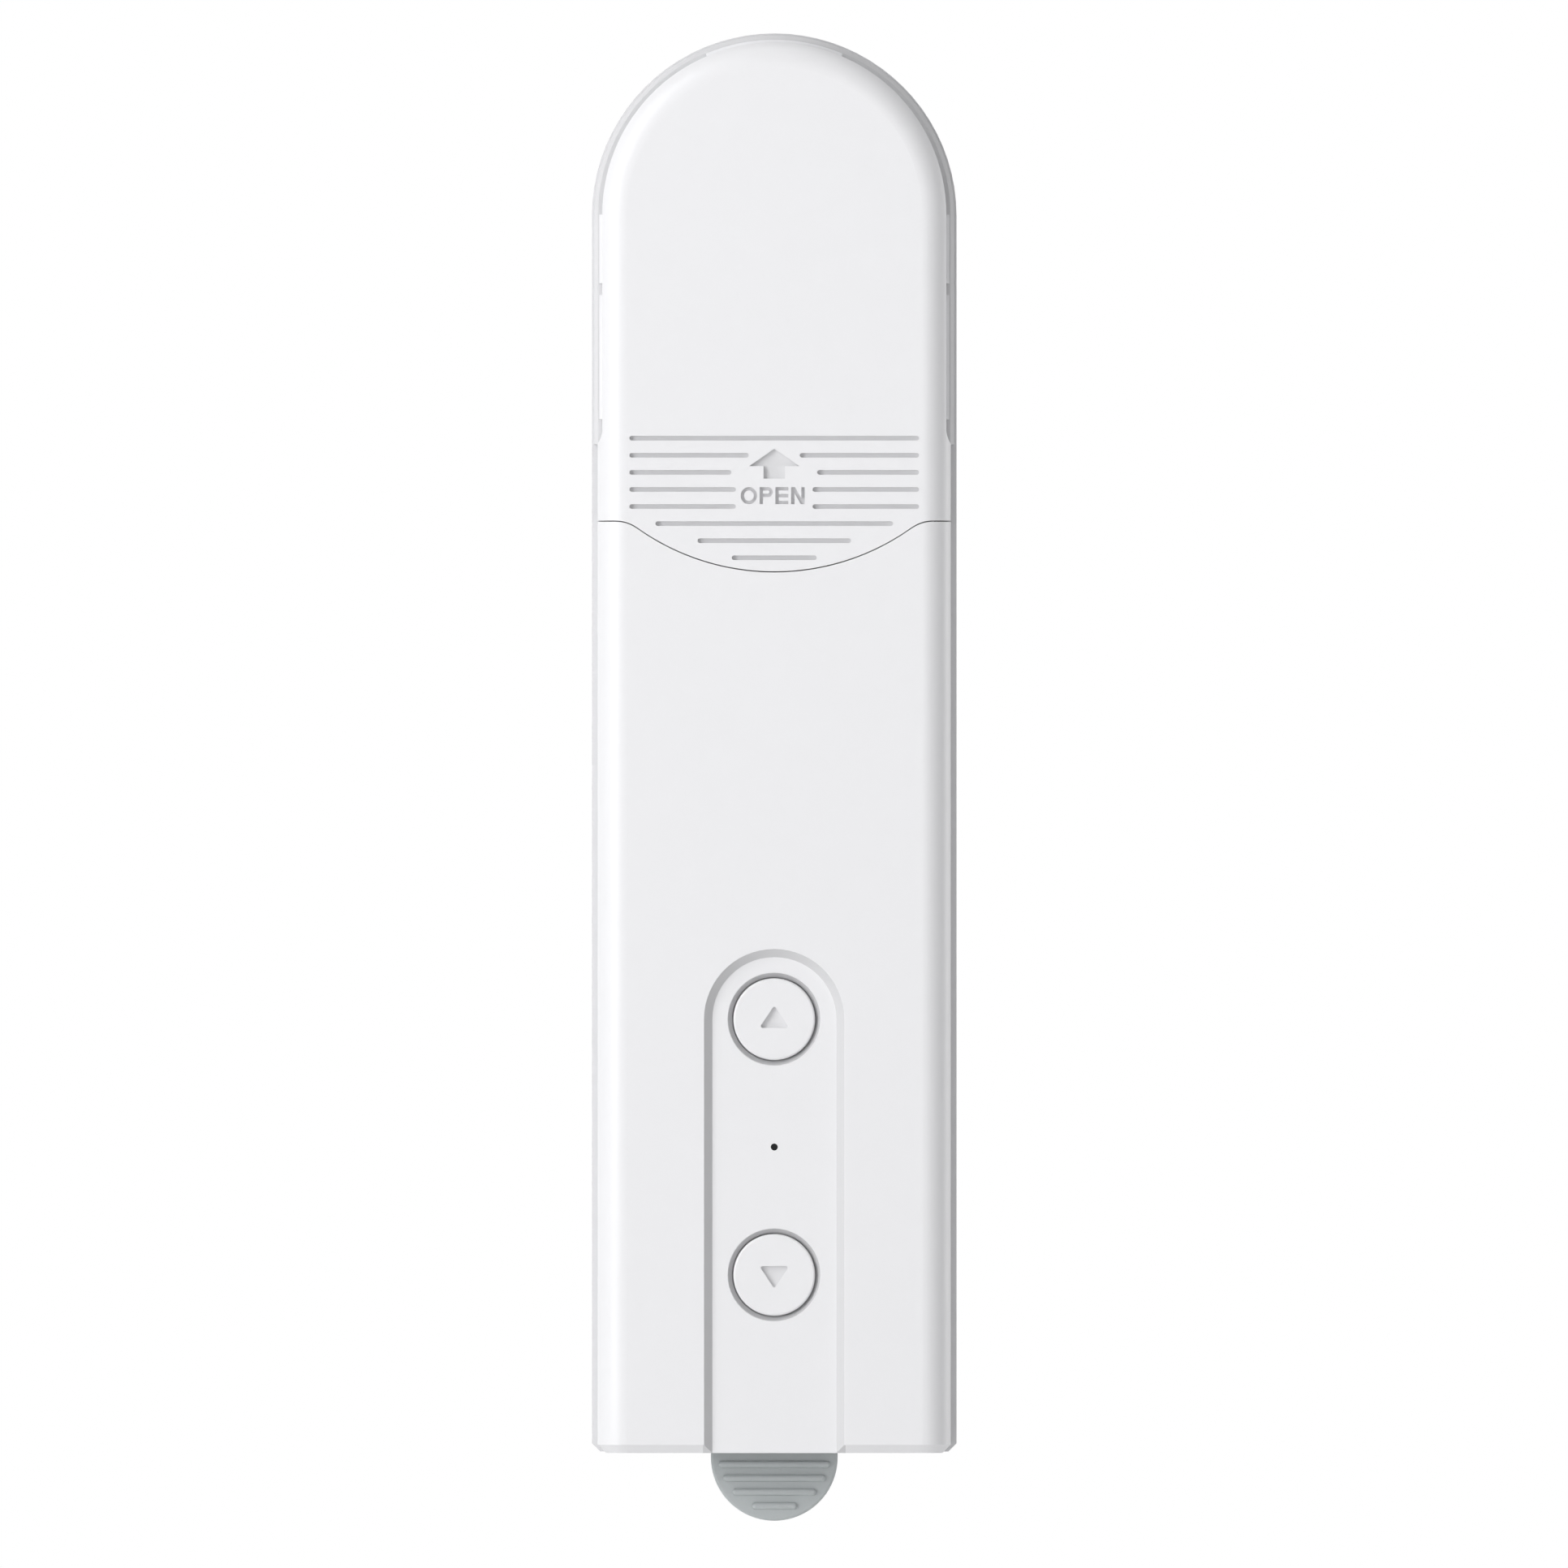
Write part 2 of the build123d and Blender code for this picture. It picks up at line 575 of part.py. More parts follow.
def grip_grooves():
    """The eight rows of grip grooves. The middle rows leave room for the marks."""
    marks = groove(-GROOVE_HALF, GROOVE_HALF, GROOVE_TOP_H)
    height = GROOVE_TOP_H
    for inner in GROOVE_INNER:
        height -= GROOVE_PITCH
        marks += groove(-GROOVE_HALF, -inner, height) + groove(inner, GROOVE_HALF, height)
    for half in GROOVE_LOWER:
        height -= GROOVE_PITCH
        marks += groove(-half, half, height)
    return marks


def cover_marks():
    """The arrow and the word that show which way the cover opens."""
    neck = ARROW_TIP_H - ARROW_HEAD_H
    arrow = make_face(Polyline(
        (0, ARROW_TIP_H), (ARROW_HALF, neck), (ARROW_SHAFT_HALF, neck),
        (ARROW_SHAFT_HALF, ARROW_LOW_H), (-ARROW_SHAFT_HALF, ARROW_LOW_H),
        (-ARROW_SHAFT_HALF, neck), (-ARROW_HALF, neck), close=True))
    marks = arrow
    for letter, x, width in zip((letter_o, letter_p, letter_e, letter_n), LETTER_X, LETTER_W):
        marks += Pos(x, WORD_LOW_H + WORD_H / 2) * letter(width, WORD_H)
    return marks


def letter_o(w, h):
    return Ellipse(w / 2, h / 2) - Ellipse(w / 2 - WORD_STROKE, h / 2 - WORD_STROKE)


def letter_p(w, h):
    stem = Pos(-w / 2 + WORD_STROKE / 2, 0) * Rectangle(WORD_STROKE, h)
    bowl_h = 0.58 * h
    bowl_w = w - WORD_STROKE / 2
    bowl = SlotOverall(2 * bowl_w, bowl_h) - SlotOverall(2 * (bowl_w - WORD_STROKE),
                                                         bowl_h - 2 * WORD_STROKE)
    bowl &= Pos(bowl_w / 2, 0) * Rectangle(bowl_w, bowl_h)
    return stem + Pos(-w / 2 + WORD_STROKE / 2, (h - bowl_h) / 2) * bowl


def letter_e(w, h):
    shape = Pos(-w / 2 + WORD_STROKE / 2, 0) * Rectangle(WORD_STROKE, h)
    for place in (-1, 0, 1):
        shape += Pos(0, place * (h - WORD_STROKE) / 2) * Rectangle(w, WORD_STROKE)
    return shape


def letter_n(w, h):
    slant = WORD_STROKE * 1.2
    diagonal = make_face(Polyline((-w / 2, h / 2), (-w / 2 + slant, h / 2), (w / 2, -h / 2),
                                  (w / 2 - slant, -h / 2), close=True))
    stems = Pos(-w / 2 + WORD_STROKE / 2, 0) * Rectangle(WORD_STROKE, h)
    stems += Pos(w / 2 - WORD_STROKE / 2, 0) * Rectangle(WORD_STROKE, h)
    return stems + diagonal


# Buttons, switches and light

def triangle(up):
    """The sunk triangle on a button, with softly rounded corners."""
    sign = 1 if up else -1
    low = -TRIANGLE_H * 0.39 * sign
    tip = TRIANGLE_H * 0.61 * sign
    face = make_face(Polyline((-TRIANGLE_HALF, low), (TRIANGLE_HALF, low), (0, tip), close=True))
    return fillet(face.vertices(), TRIANGLE_ROUND)


def button(which):
    """A round button with its retaining flange and stem."""
    height = BUTTON_HEIGHTS[which]
    cap = rod(0, height, BUTTON_R, FLANGE_FRONT_Y, CHANNEL_FLOOR_Y)
    rim = cap.faces().sort_by(Axis.Y)[0].edges()
    cap = fillet(rim, BUTTON_EDGE)
    cap += rod(0, height, BUTTON_FLANGE_R, FLANGE_BACK_Y, FLANGE_FRONT_Y)
    cap += rod(0, height, BUTTON_STEM_R, STEM_BACK_Y, FLANGE_BACK_Y)
    mark = Pos(0, height) * triangle(which == "up")
    return cap - slab(mark, CHANNEL_FLOOR_Y + TRIANGLE_SINK, FRONT_Y)


def switch(which):
    """The body of a tact switch, open in front for its plunger."""
    height, half = BUTTON_HEIGHTS[which], SWITCH_W / 2
    body = box((-half, half), (BOARD_FRONT_Y, SWITCH_FRONT_Y), (height - half, height + half))
    depth = PLUNGER_IN + BUTTON_TRAVEL + 0.2
    return body - rod(0, height, PLUNGER_R + 0.1, SWITCH_FRONT_Y + depth, SWITCH_FRONT_Y)


def plunger(which):
    """The plunger of a tact switch, which the button's stem rests on."""
    return rod(0, BUTTON_HEIGHTS[which], PLUNGER_R, SWITCH_FRONT_Y + PLUNGER_IN, STEM_BACK_Y)


def status_led():
    return box((-0.8, 0.8), (BOARD_FRONT_Y, BOARD_FRONT_Y - 0.7), (LED_H - 0.5, LED_H + 0.5))


def light_pipe():
    """The clear pipe from the light to the pinhole in the channel."""
    pipe = rod(0, LED_H, 1.2, BOARD_FRONT_Y - 0.9, CHANNEL_IN_Y)
    pipe += rod(0, LED_H, 2.0, CHANNEL_IN_Y + 0.6, CHANNEL_IN_Y)
    return pipe + rod(0, LED_H, LED_HOLE_R, CHANNEL_IN_Y, CHANNEL_FLOOR_Y + 0.2)


# Chain wheel and its shaft

def d_bar(r, y0, y1):
    """A round bar on the wheel's axis with one flat side."""
    bar = rod(0, HEAD_H, r, y0, y1)
    return bar - box((-r, r), (y0, y1), (HEAD_H + r - SHAFT_FLAT, HEAD_H + r + 1))


def chain_wheel():
    """The wheel with a pocket for each bead and a slot for the cord between them."""
    wheel = rod(0, HEAD_H, WHEEL_R, WHEEL_BACK_Y, WHEEL_FRONT_Y)
    rims = wheel.edges().filter_by(GeomType.CIRCLE)
    wheel = fillet(rims, 0.4)
    middle = (WHEEL_BACK_Y + WHEEL_FRONT_Y) / 2
    slot = rod(0, HEAD_H, WHEEL_R + 1, middle + CORD_SLOT / 2, middle - CORD_SLOT / 2)
    slot -= rod(0, HEAD_H, WHEEL_PITCH_R - CORD_SLOT / 2, middle + CORD_SLOT, middle - CORD_SLOT)
    wheel -= slot
    pocket_r = BEAD_D / 2 + POCKET_PLAY
    pocket = Pos(WHEEL_PITCH_R, 0, 0) * Sphere(pocket_r)
    pocket += Pos(WHEEL_PITCH_R + pocket_r, 0, 0) * Rot(0, 90, 0) * Cylinder(pocket_r, 2 * pocket_r)
    for number in range(POCKETS):
        wheel -= Pos(0, middle, HEAD_H) * Rot(0, 360 / POCKETS * number, 0) * pocket
    dish = rod(0, HEAD_H, DISH_R, WHEEL_FRONT_Y + DISH_DEPTH, WHEEL_FRONT_Y)
    dish -= rod(0, HEAD_H, HUB_R, WHEEL_FRONT_Y + DISH_DEPTH, WHEEL_FRONT_Y)
    wheel -= dish
    wheel -= rod(0, HEAD_H, WHEEL_SCREW_R + 0.2, shaft_front_y(), WHEEL_FRONT_Y)
    return wheel - d_bar(SHAFT_R, WHEEL_BACK_Y + 1, WHEEL_FRONT_Y)


def shaft_front_y():
    return WHEEL_FRONT_Y + SCREW_HEAD_T


def wheel_shaft():
    shaft = d_bar(SHAFT_R, SHAFT_BACK_Y, shaft_front_y())
    return shaft - rod(0, HEAD_H, SCREW_THREAD_R, shaft_front_y() + SCREW_BITE, WHEEL_FRONT_Y)


def wheel_screw():
    """The pan-head screw that holds the wheel, with its cross slot."""
    front = WHEEL_FRONT_Y
    screw = rod(0, HEAD_H, WHEEL_SCREW_R, shaft_front_y(), front)
    screw += rod(0, HEAD_H, SCREW_THREAD_R, shaft_front_y() + SCREW_BITE, shaft_front_y())
    for half_x, half_z in ((1.3, 0.25), (0.25, 1.3)):
        screw -= box((-half_x, half_x), (front + 0.7, front), (HEAD_H - half_z, HEAD_H + half_z))
    return screw


def bush(outer, flange_y, back, front):
    """A plain bearing on the wheel shaft, with a flange."""
    ring = rod(0, HEAD_H, outer, back, front)
    ring += rod(0, HEAD_H, outer + 0.8, flange_y, flange_y - BUSH_FLANGE / 2)
    return ring - rod(0, HEAD_H, SHAFT_R + BEARING_PLAY, back + 1, front - 1)


def front_bush():
    return bush(FRONT_BUSH_R, BAND_Y, PARTITION_IN_Y + 1.2, BAND_Y)


def rear_bush():
    return bush(REAR_BUSH_R, PLATE_FRONT_Y, PLATE_Y + 0.4, PLATE_FRONT_Y)


def encoder_ring():
    ring = rod(0, HEAD_H, ENCODER_R, *ENCODER_Y)
    return ring - d_bar(SHAFT_R, 0, FRONT_Y)


def encoder_board():
    """The small board round the shaft, with the sensor that reads the encoder ring."""
    half = ENCODER_BOARD_HALF
    front = PLATE_FRONT_Y - ENCODER_BOARD_T
    board = box((-half, half), (PLATE_FRONT_Y, front), (HEAD_H - half, HEAD_H + half))
    board -= rod(0, HEAD_H, REAR_BUSH_R + 1.0, 0, FRONT_Y)
    return board + box((5.0, 7.6), (front, front - 1.0), (HEAD_H - 1.5, HEAD_H + 1.5))


# Gear train

def tooth_half_angle(r, teeth, module):
    """Half of a tooth's thickness at a radius, as an angle, on an involute flank."""
    pitch_r = teeth * module / 2
    base_r = pitch_r * cos(radians(PRESSURE_ANGLE))
    def involute(radius):
        angle = acos(min(1, base_r / radius))
        return tan(angle) - angle
    return TOOTH_SHARE * pi / teeth + involute(pitch_r) - involute(max(r, base_r))


def toothed(centre, teeth, module, toward, y0, y1, gap=False):
    """A spur gear whose tooth, or gap, points to its partner's centre."""
    pitch_r = teeth * module / 2
    base_r = pitch_r * cos(radians(PRESSURE_ANGLE))
    tip_r = pitch_r + ADDENDUM * module
    root_r = pitch_r - DEDENDUM * module
    radii = sorted({root_r, max(base_r, root_r + 0.02), pitch_r, tip_r})
    start = atan2(toward[1] - centre[1], toward[0] - centre[0]) + (pi / teeth if gap else 0)
    points = []
    for number in range(teeth):
        middle = start + 2 * pi * number / teeth
        flank = [(r, tooth_half_angle(r, teeth, module)) for r in radii]
        rising = [(r, middle - half) for r, half in flank]
        falling = [(r, middle + half) for r, half in reversed(flank)]
        points += [(r * cos(a), r * sin(a)) for r, a in rising + falling]
    face = make_face(Polyline(*points, close=True))
    return slab(Pos(*centre) * face, y0, y1)


def compound_gear(number):
    """Gear and pinion in one piece, numbered from the motor up, running on its pin."""
    here, below, above = CENTRES[number], CENTRES[number - 1], CENTRES[number + 1]
    layer, next_layer = LAYERS[number - 1], LAYERS[number]
    wheel = toothed(here, GEAR_TEETH[number - 1], MODULES[number - 1], below, *layer, gap=True)
    pinion_front = next_layer[1] - LAYER_GAP
    wheel += toothed(here, PINION_TEETH, MODULES[number], above, layer[1] + 0.5, pinion_front)
    wheel += rod(*here, GEAR_HUB_R, pinion_front + 0.5, PARTITION_IN_Y + HUB_END_GAP)
    if number == 3:
        wheel += rod(*here, GEAR_HUB_R, PLATE_FRONT_Y - HUB_END_GAP, layer[0] - 0.5)
    return wheel - rod(*here, PIN_R + BEARING_PLAY, 0, FRONT_Y)


def gear_pin(number):
    return rod(*CENTRES[number], PIN_R, PLATE_Y, PARTITION_IN_Y - PIN_SEAT)


def output_gear():
    layer = LAYERS[3]
    wheel = toothed(CENTRES[4], GEAR_TEETH[3], MODULES[3], CENTRES[3], *layer, gap=True)
    wheel += rod(0, HEAD_H, OUTPUT_HUB_R, ENCODER_Y[1], layer[0] - 0.5)
    return wheel - d_bar(SHAFT_R, 0, FRONT_Y)


def motor_rotor():
    """The motor's shaft with the pinion pressed on it."""
    layer = LAYERS[0]
    shaft = rod(0, MOTOR_H, MOTOR_SHAFT_R, layer[0] + 0.2, MOTOR_Y[0] - 4)
    return shaft + toothed(CENTRES[0], PINION_TEETH, MODULES[0], CENTRES[1],
                           layer[0] + 0.1, layer[1] - 0.1)


def motor_screw_places():
    return [(side * MOTOR_SCREW_X, MOTOR_H - MOTOR_SCREW_DROP) for side in (-1, 1)]


def motor_can():
    """The steel can with two flats, its end boss and the holes for its screws."""
    can = rod(0, MOTOR_H, MOTOR_R, *MOTOR_Y)
    can &= box((-MOTOR_R, MOTOR_R), MOTOR_Y, (MOTOR_H - MOTOR_FLAT_HALF, MOTOR_H + MOTOR_FLAT_HALF))
    can += rod(0, MOTOR_H, 3.0, SEAT_Y, MOTOR_Y[0])
    can -= rod(0, MOTOR_H, MOTOR_SHAFT_R + BEARING_PLAY, 0, MOTOR_Y[0] - 4.2)
    for x, z in motor_screw_places():
        can -= rod(x, z, MOTOR_SCREW_R, 0, SEAT_Y - MOTOR_SCREW_L)
    return can


def motor_screw(side):
    x, z = motor_screw_places()[side]
    screw = rod(x, z, MOTOR_SCREW_R, SEAT_Y, SEAT_Y - MOTOR_SCREW_L)
    return screw + rod(x, z, 1.5, SEAT_Y + 0.9, SEAT_Y)


def gear_plate():
    """The plate that carries the gear pins, with the motor's seat on three posts."""
    low, top = MOTOR_H - MOTOR_FLAT_HALF + 1, HEAD_H + 4
    tab_half, tab_top = (place + 1.8 for place in GEARBOX_SCREWS[1])
    plate = box((-14, INNER_HALF - GAP), (PLATE_Y, PLATE_FRONT_Y), (low, top))
    plate += box((-tab_half, tab_half), (PLATE_Y, PLATE_FRONT_Y), (top - 1, tab_top))
    plate &= slab(arch(INNER_HALF - GAP, 0), PLATE_Y, PLATE_FRONT_Y)
    plate += box((-13.4, 13.4), (SEAT_Y, MOTOR_Y[0]), (low, MOTOR_H + MOTOR_R - 0.3))
    for x, z in ((-11.8, low + 1.6), (11.8, low + 1.6), (11.8, MOTOR_H + 8)):
        plate += rod(x, z, 1.6, PLATE_FRONT_Y, SEAT_Y)
    plate -= rod(0, MOTOR_H, 3.0, PLATE_FRONT_Y, FRONT_Y)
    plate -= rod(0, HEAD_H, REAR_BUSH_R, 0, FRONT_Y)
    for x, z in CENTRES[1:4]:
        plate -= rod(x, z, PIN_R, 0, FRONT_Y)
    for x, z in GEARBOX_SCREWS:
        plate -= rod(x, z, SCREW_R, 0, FRONT_Y)
    for x, z in motor_screw_places():
        plate -= rod(x, z, MOTOR_SCREW_R, PLATE_FRONT_Y, FRONT_Y)
    return plate


# Screws of the housing

def pan_screw(x, z, head_y, tip_y):
    """A pan-head screw put in from the wall side."""
    screw = rod(x, z, SCREW_HEAD_R, head_y + SCREW_HEAD_T, head_y)
    screw += rod(x, z, SCREW_R, head_y, tip_y)
    for half_x, half_z in ((1.2, 0.25), (0.25, 1.2)):
        screw -= box((x - half_x, x + half_x), (head_y + SCREW_HEAD_T, head_y + 0.7),
                     (z - half_z, z + half_z))
    return screw


def housing_screw(number):
    return pan_screw(*HOUSING_SCREWS[number], SCREW_HEAD_Y, LEDGE_Y - SCREW_BITE)


def gearbox_screw(number):
    tip = PLATE_FRONT_Y - SCREW_BITE
    return pan_screw(*GEARBOX_SCREWS[number], BACK_Y - SCREW_HEAD_T, tip)


# Battery

def battery_cell(side):
    """One cell with its raised positive end."""
    cell = Pos(side * CELL_X, CELL_Y, CELL_LOW_H + CELL_L / 2) * Cylinder(CELL_R, CELL_L)
    cell = fillet(cell.edges().filter_by(GeomType.CIRCLE), 0.6)
    groove_z = CELL_TOP_H - 3.0
    ring = Pos(side * CELL_X, CELL_Y, groove_z) * Torus(CELL_R, 0.5)
    return cell - ring


def nickel_strip(z0, z1):
    """A strip that is welded across the two cells' ends."""
    return box((-13, 13), (CELL_Y - 4, CELL_Y + 4), (z0, z1))


def battery_tray():
    """The tray with an end wall under and over the cells, joined by a spine between them."""
    low, top = CELL_LOW_H - STRIP_T, CELL_TOP_H + STRIP_T
    depth = (FLOOR_Y - GAP, CELL_Y - CELL_R)
    tray = box((-TRAY_HALF, TRAY_HALF), depth, (low - TRAY_END_T, low))
    tray += box((-TRAY_SPINE_HALF, TRAY_SPINE_HALF), TRAY_SPINE_Y, (low - TRAY_END_T, top))
    tray += box((-TRAY_TOP_HALF, TRAY_TOP_HALF), depth, (top, top + TRAY_END_T))
    tray -= box((-TAB_R - 1, TAB_R + 1), (0, TAB_Y[1] - 1.2), (0, low))
    tray -= box((-ARM_HALF - 1, ARM_HALF + 1), (0, TRAY_SPINE_Y[0]), (0, ARM_TOP_H + 4))
    return tray


def protection_board():
    base = CELL_TOP_H + STRIP_T + TRAY_END_T
    board = box((-11, 11), (CELL_Y - CELL_R + 0.5, FLOOR_Y - 2), (base, base + 0.8))
    return board + box((-3, 3), (CELL_Y - 2, CELL_Y + 2), (base + 0.8, base + 1.6))


# Main board and what sits on it

def main_board():
    board = box((-BOARD_HALF, BOARD_HALF), (BOARD_Y, BOARD_FRONT_Y), BOARD_H)
    for z in BOARD_POSTS_H:
        for side in (-1, 1):
            board -= rod(side * BOARD_POST_X, z, BOARD_PIN_R, 0, FRONT_Y)
    return board


def usb_socket():
    """The charging socket at the lower end: a rolled sheet shell with its tongue."""
    low, top = 0.5, 0.5 + USB_L
    centre = BOARD_FRONT_Y - USB_T / 2
    place = Pos(0, centre, low)
    shell = place * extrude(SlotOverall(USB_W, USB_T), amount=USB_L)
    inner = SlotOverall(USB_W - 2 * USB_SHEET, USB_T - 2 * USB_SHEET)
    shell -= place * extrude(inner, amount=USB_L - 1)
    return shell + box((-3.3, 3.3), (centre - 0.35, centre + 0.35), (low + 0.8, top - 0.5))


def radio_shield():
    return box((-13, -3), (BOARD_Y, BOARD_Y + 2.2), (28, 42))


def control_chip():
    return box((3, 10), (BOARD_Y, BOARD_Y + 1.0), (30, 37))


def motor_socket():
    return box((-4.5, 4.5), (BOARD_FRONT_Y, BOARD_FRONT_Y - 3.4), (59, 65.5))


def battery_socket():
    return box((-5.5, 5.5), (BOARD_Y, BOARD_Y + 3.2), (54, 60))


def lead(points, bend=LEAD_BEND):
    """An insulated lead along straight runs joined by arcs."""
    path = FilletPolyline(*points, radius=bend) if len(points) > 2 else Line(*points)
    start = Plane(origin=path @ 0, z_dir=path % 0)
    return sweep(start * Circle(LEAD_R), path=path)


def motor_lead(side):
    """From the motor's flat side straight down into its socket on the main board."""
    x, y = side * 2.5, BOARD_FRONT_Y - 1.7
    return lead([(x, y, MOTOR_H - MOTOR_FLAT_HALF), (x, y, 65.5)])


def battery_lead(side):
    """From the protection board forward and down into the socket on the main board's back."""
    x, y = side * 3.5, BOARD_Y + 1.7
    z = CELL_TOP_H + STRIP_T + TRAY_END_T + LEAD_R
    edge = CELL_Y - CELL_R + 0.5
    return lead([(x, edge, z), (x, y, z), (x, y, 60)])


# Wall bracket

def wall_bracket():
    """The plate on the wall: a T rail with a sunk strip for the rack and the screw heads."""
    base = box((-BRACKET_BASE_HALF, BRACKET_BASE_HALF), (0, -BRACKET_BASE_T), BRACKET_H)
    head = box((-BRACKET_HEAD_HALF, BRACKET_HEAD_HALF), (-BRACKET_BASE_T, -BRACKET_T), BRACKET_H)
    head = chamfer(head.edges().filter_by(Axis.Y), 1.2)
    bracket = base + head
    bracket -= box((-RACK_HALF, RACK_HALF), (RACK_FLOOR_Y, -BRACKET_T), (0, BODY_H))
    for side in (-1, 1):
        z = MOUNT_H + side * HOLE_SPACING / 2
        bracket -= rod(0, z, HOLE_R, 1, -BRACKET_T)
        sink = Pos(0, RACK_FLOOR_Y + HOLE_SINK / 2, z) * Rot(90, 0, 0)
        bracket -= sink * Cone(HOLE_R, HOLE_R + HOLE_SINK, HOLE_SINK)
        pad_z = MOUNT_H + side * PAD_CENTRE
        bracket -= box((-PAD_HALF, PAD_HALF), (0, -PAD_T), (pad_z - PAD_H / 2, pad_z + PAD_H / 2))
    count = int((RACK_TOP_H - BRACKET_H[0]) / RACK_PITCH)
    for number in range(count):
        bracket += rack_tooth(BRACKET_H[0] + number * RACK_PITCH)
    return bracket


def rack_tooth(z):
    """One saw tooth that lets the latch leaf ride down and stops it going up."""
    profile = make_face(Polyline((RACK_FLOOR_Y, z), (RACK_FLOOR_Y - RACK_TOOTH, z),
                                 (RACK_FLOOR_Y, z + RACK_PITCH * 0.8), close=True))
    plane = Plane(origin=(-RACK_HALF, 0, 0), x_dir=(0, 1, 0), z_dir=(1, 0, 0))
    return extrude(plane * profile, amount=2 * RACK_HALF)


def adhesive_pad(side):
    z = MOUNT_H + side * PAD_CENTRE
    return box((-PAD_HALF, PAD_HALF), (0, -PAD_T), (z - PAD_H / 2, z + PAD_H / 2))


# Release tab

def release_tab():
    """The ribbed tab under the lower end and its arm, which rocks on the pin."""
    outline = Pos(0, TAB_CENTRE_H) * Circle(TAB_R)
    outline &= Pos(0, TAB_CENTRE_H - TAB_R / 2) * Rectangle(2 * TAB_R, TAB_R)
    neck_h = TAB_TOP_H - TAB_CENTRE_H
    outline += Pos(0, TAB_CENTRE_H + neck_h / 2) * Rectangle(2 * TAB_R, neck_h)
    plate = slab(outline, *TAB_Y)
    front = plate.faces().sort_by(Axis.Y)[0]
    round_edges = front.edges().filter_by(GeomType.CIRCLE)
    plate = fillet(round_edges, TAB_EDGE)
    plate += box((-ARM_HALF, ARM_HALF), ARM_Y, (TAB_TOP_H - 1, ARM_TOP_H))
    plate += cross_rod(TAB_PIN_Y, TAB_PIN_H, TAB_BOSS_R, ARM_HALF)
    for number in range(TAB_RIBS):
        z = RIB_TOP_H - number * RIB_STEP
        low_edge = TAB_CENTRE_H - z + TAB_RIB_W / 2
        half = sqrt((TAB_R - TAB_RIB_INSET) ** 2 - low_edge**2)
        rib = slab(Pos(0, z) * SlotOverall(2 * half, TAB_RIB_W), TAB_Y[1] + 0.5, TAB_Y[1] - TAB_RIB_OUT)
        plate += fillet(rib.faces().sort_by(Axis.Y)[0].edges(), TAB_RIB_ROUND)
    return plate - cross_rod(TAB_PIN_Y, TAB_PIN_H, TAB_PIN_R + BEARING_PLAY, BODY_W)


def tab_pin():
    return cross_rod(TAB_PIN_Y, TAB_PIN_H, TAB_PIN_R, TAB_PIN_HALF)


def latch_leaf():
    """The spring-steel leaf on the arm, whose bent end catches in the rack."""
    back = ARM_Y[0] + LEAF_T
    leaf = box((-LEAF_HALF, LEAF_HALF), (ARM_Y[0], back), (LEAF_LOW_H, ARM_TOP_H))
    first = BRACKET_H[0] + RACK_PITCH * int((ARM_TOP_H - LEAF_T - BRACKET_H[0]) / RACK_PITCH)
    nose = box((-LEAF_HALF, LEAF_HALF), (back - 0.2, RACK_FLOOR_Y - GAP),
               (first - 2 * LEAF_T, first - LEAF_T))
    return leaf + nose


def tab_spring():
    """The small coil spring that pushes the arm towards the rack."""
    front, back = TRAY_SPINE_Y[0], ARM_Y[1]
    length = back - front - SPRING_WIRE
    plane = Plane(origin=(0, back - SPRING_WIRE / 2, SPRING_H), x_dir=(1, 0, 0), z_dir=(0, -1, 0))
    path = plane * Helix(length / SPRING_TURNS, length, SPRING_R)
    start = Plane(origin=path @ 0, z_dir=path % 0)
    return sweep(start * Circle(SPRING_WIRE / 2), path=path)


PIECES = {
    "wall_bracket": wall_bracket(),
    "adhesive_pad_upper": adhesive_pad(1),
    "adhesive_pad_lower": adhesive_pad(-1),
    "rear_housing": rear_housing(),
    "front_shell": front_shell(),
    "gearbox_housing": gearbox_housing(),
    "chain_cover": chain_cover(),
    "up_button": button("up"),
    "down_button": button("down"),
    "up_switch": switch("up"),
    "down_switch": switch("down"),
    "up_plunger": plunger("up"),
    "down_plunger": plunger("down"),
    "status_led": status_led(),
    "light_pipe": light_pipe(),
    "chain_wheel": chain_wheel(),
    "wheel_shaft": wheel_shaft(),
    "wheel_screw": wheel_screw(),
    "front_bush": front_bush(),
    "rear_bush": rear_bush(),
    "encoder_ring": encoder_ring(),
    "encoder_board": encoder_board(),
    "output_gear": output_gear(),
    "motor_rotor": motor_rotor(),
    "motor_can": motor_can(),
    "gear_plate": gear_plate(),
    "battery_cell_left": battery_cell(-1),
    "battery_cell_right": battery_cell(1),
    "battery_tray": battery_tray(),
    "nickel_strip_upper": nickel_strip(CELL_TOP_H, CELL_TOP_H + STRIP_T),
    "nickel_strip_lower": nickel_strip(CELL_LOW_H - STRIP_T, CELL_LOW_H),
    "protection_board": protection_board(),
    "main_board": main_board(),
    "usb_socket": usb_socket(),
    "radio_shield": radio_shield(),
    "control_chip": control_chip(),
    "motor_socket": motor_socket(),
    "battery_socket": battery_socket(),
    "release_tab": release_tab(),
    "tab_pin": tab_pin(),
    "latch_leaf": latch_leaf(),
    "tab_spring": tab_spring(),
}
for number in (1, 2, 3):
    PIECES[f"gear_{number}"] = compound_gear(number)
    PIECES[f"gear_pin_{number}"] = gear_pin(number)
    PIECES[f"gearbox_screw_{number}"] = gearbox_screw(number - 1)
for index, side in enumerate(("left", "right")):
    PIECES[f"motor_screw_{side}"] = motor_screw(index)
    PIECES[f"housing_screw_{side}"] = housing_screw(index)
    PIECES[f"motor_lead_{side}"] = motor_lead(2 * index - 1)
    PIECES[f"battery_lead_{side}"] = battery_lead(2 * index - 1)

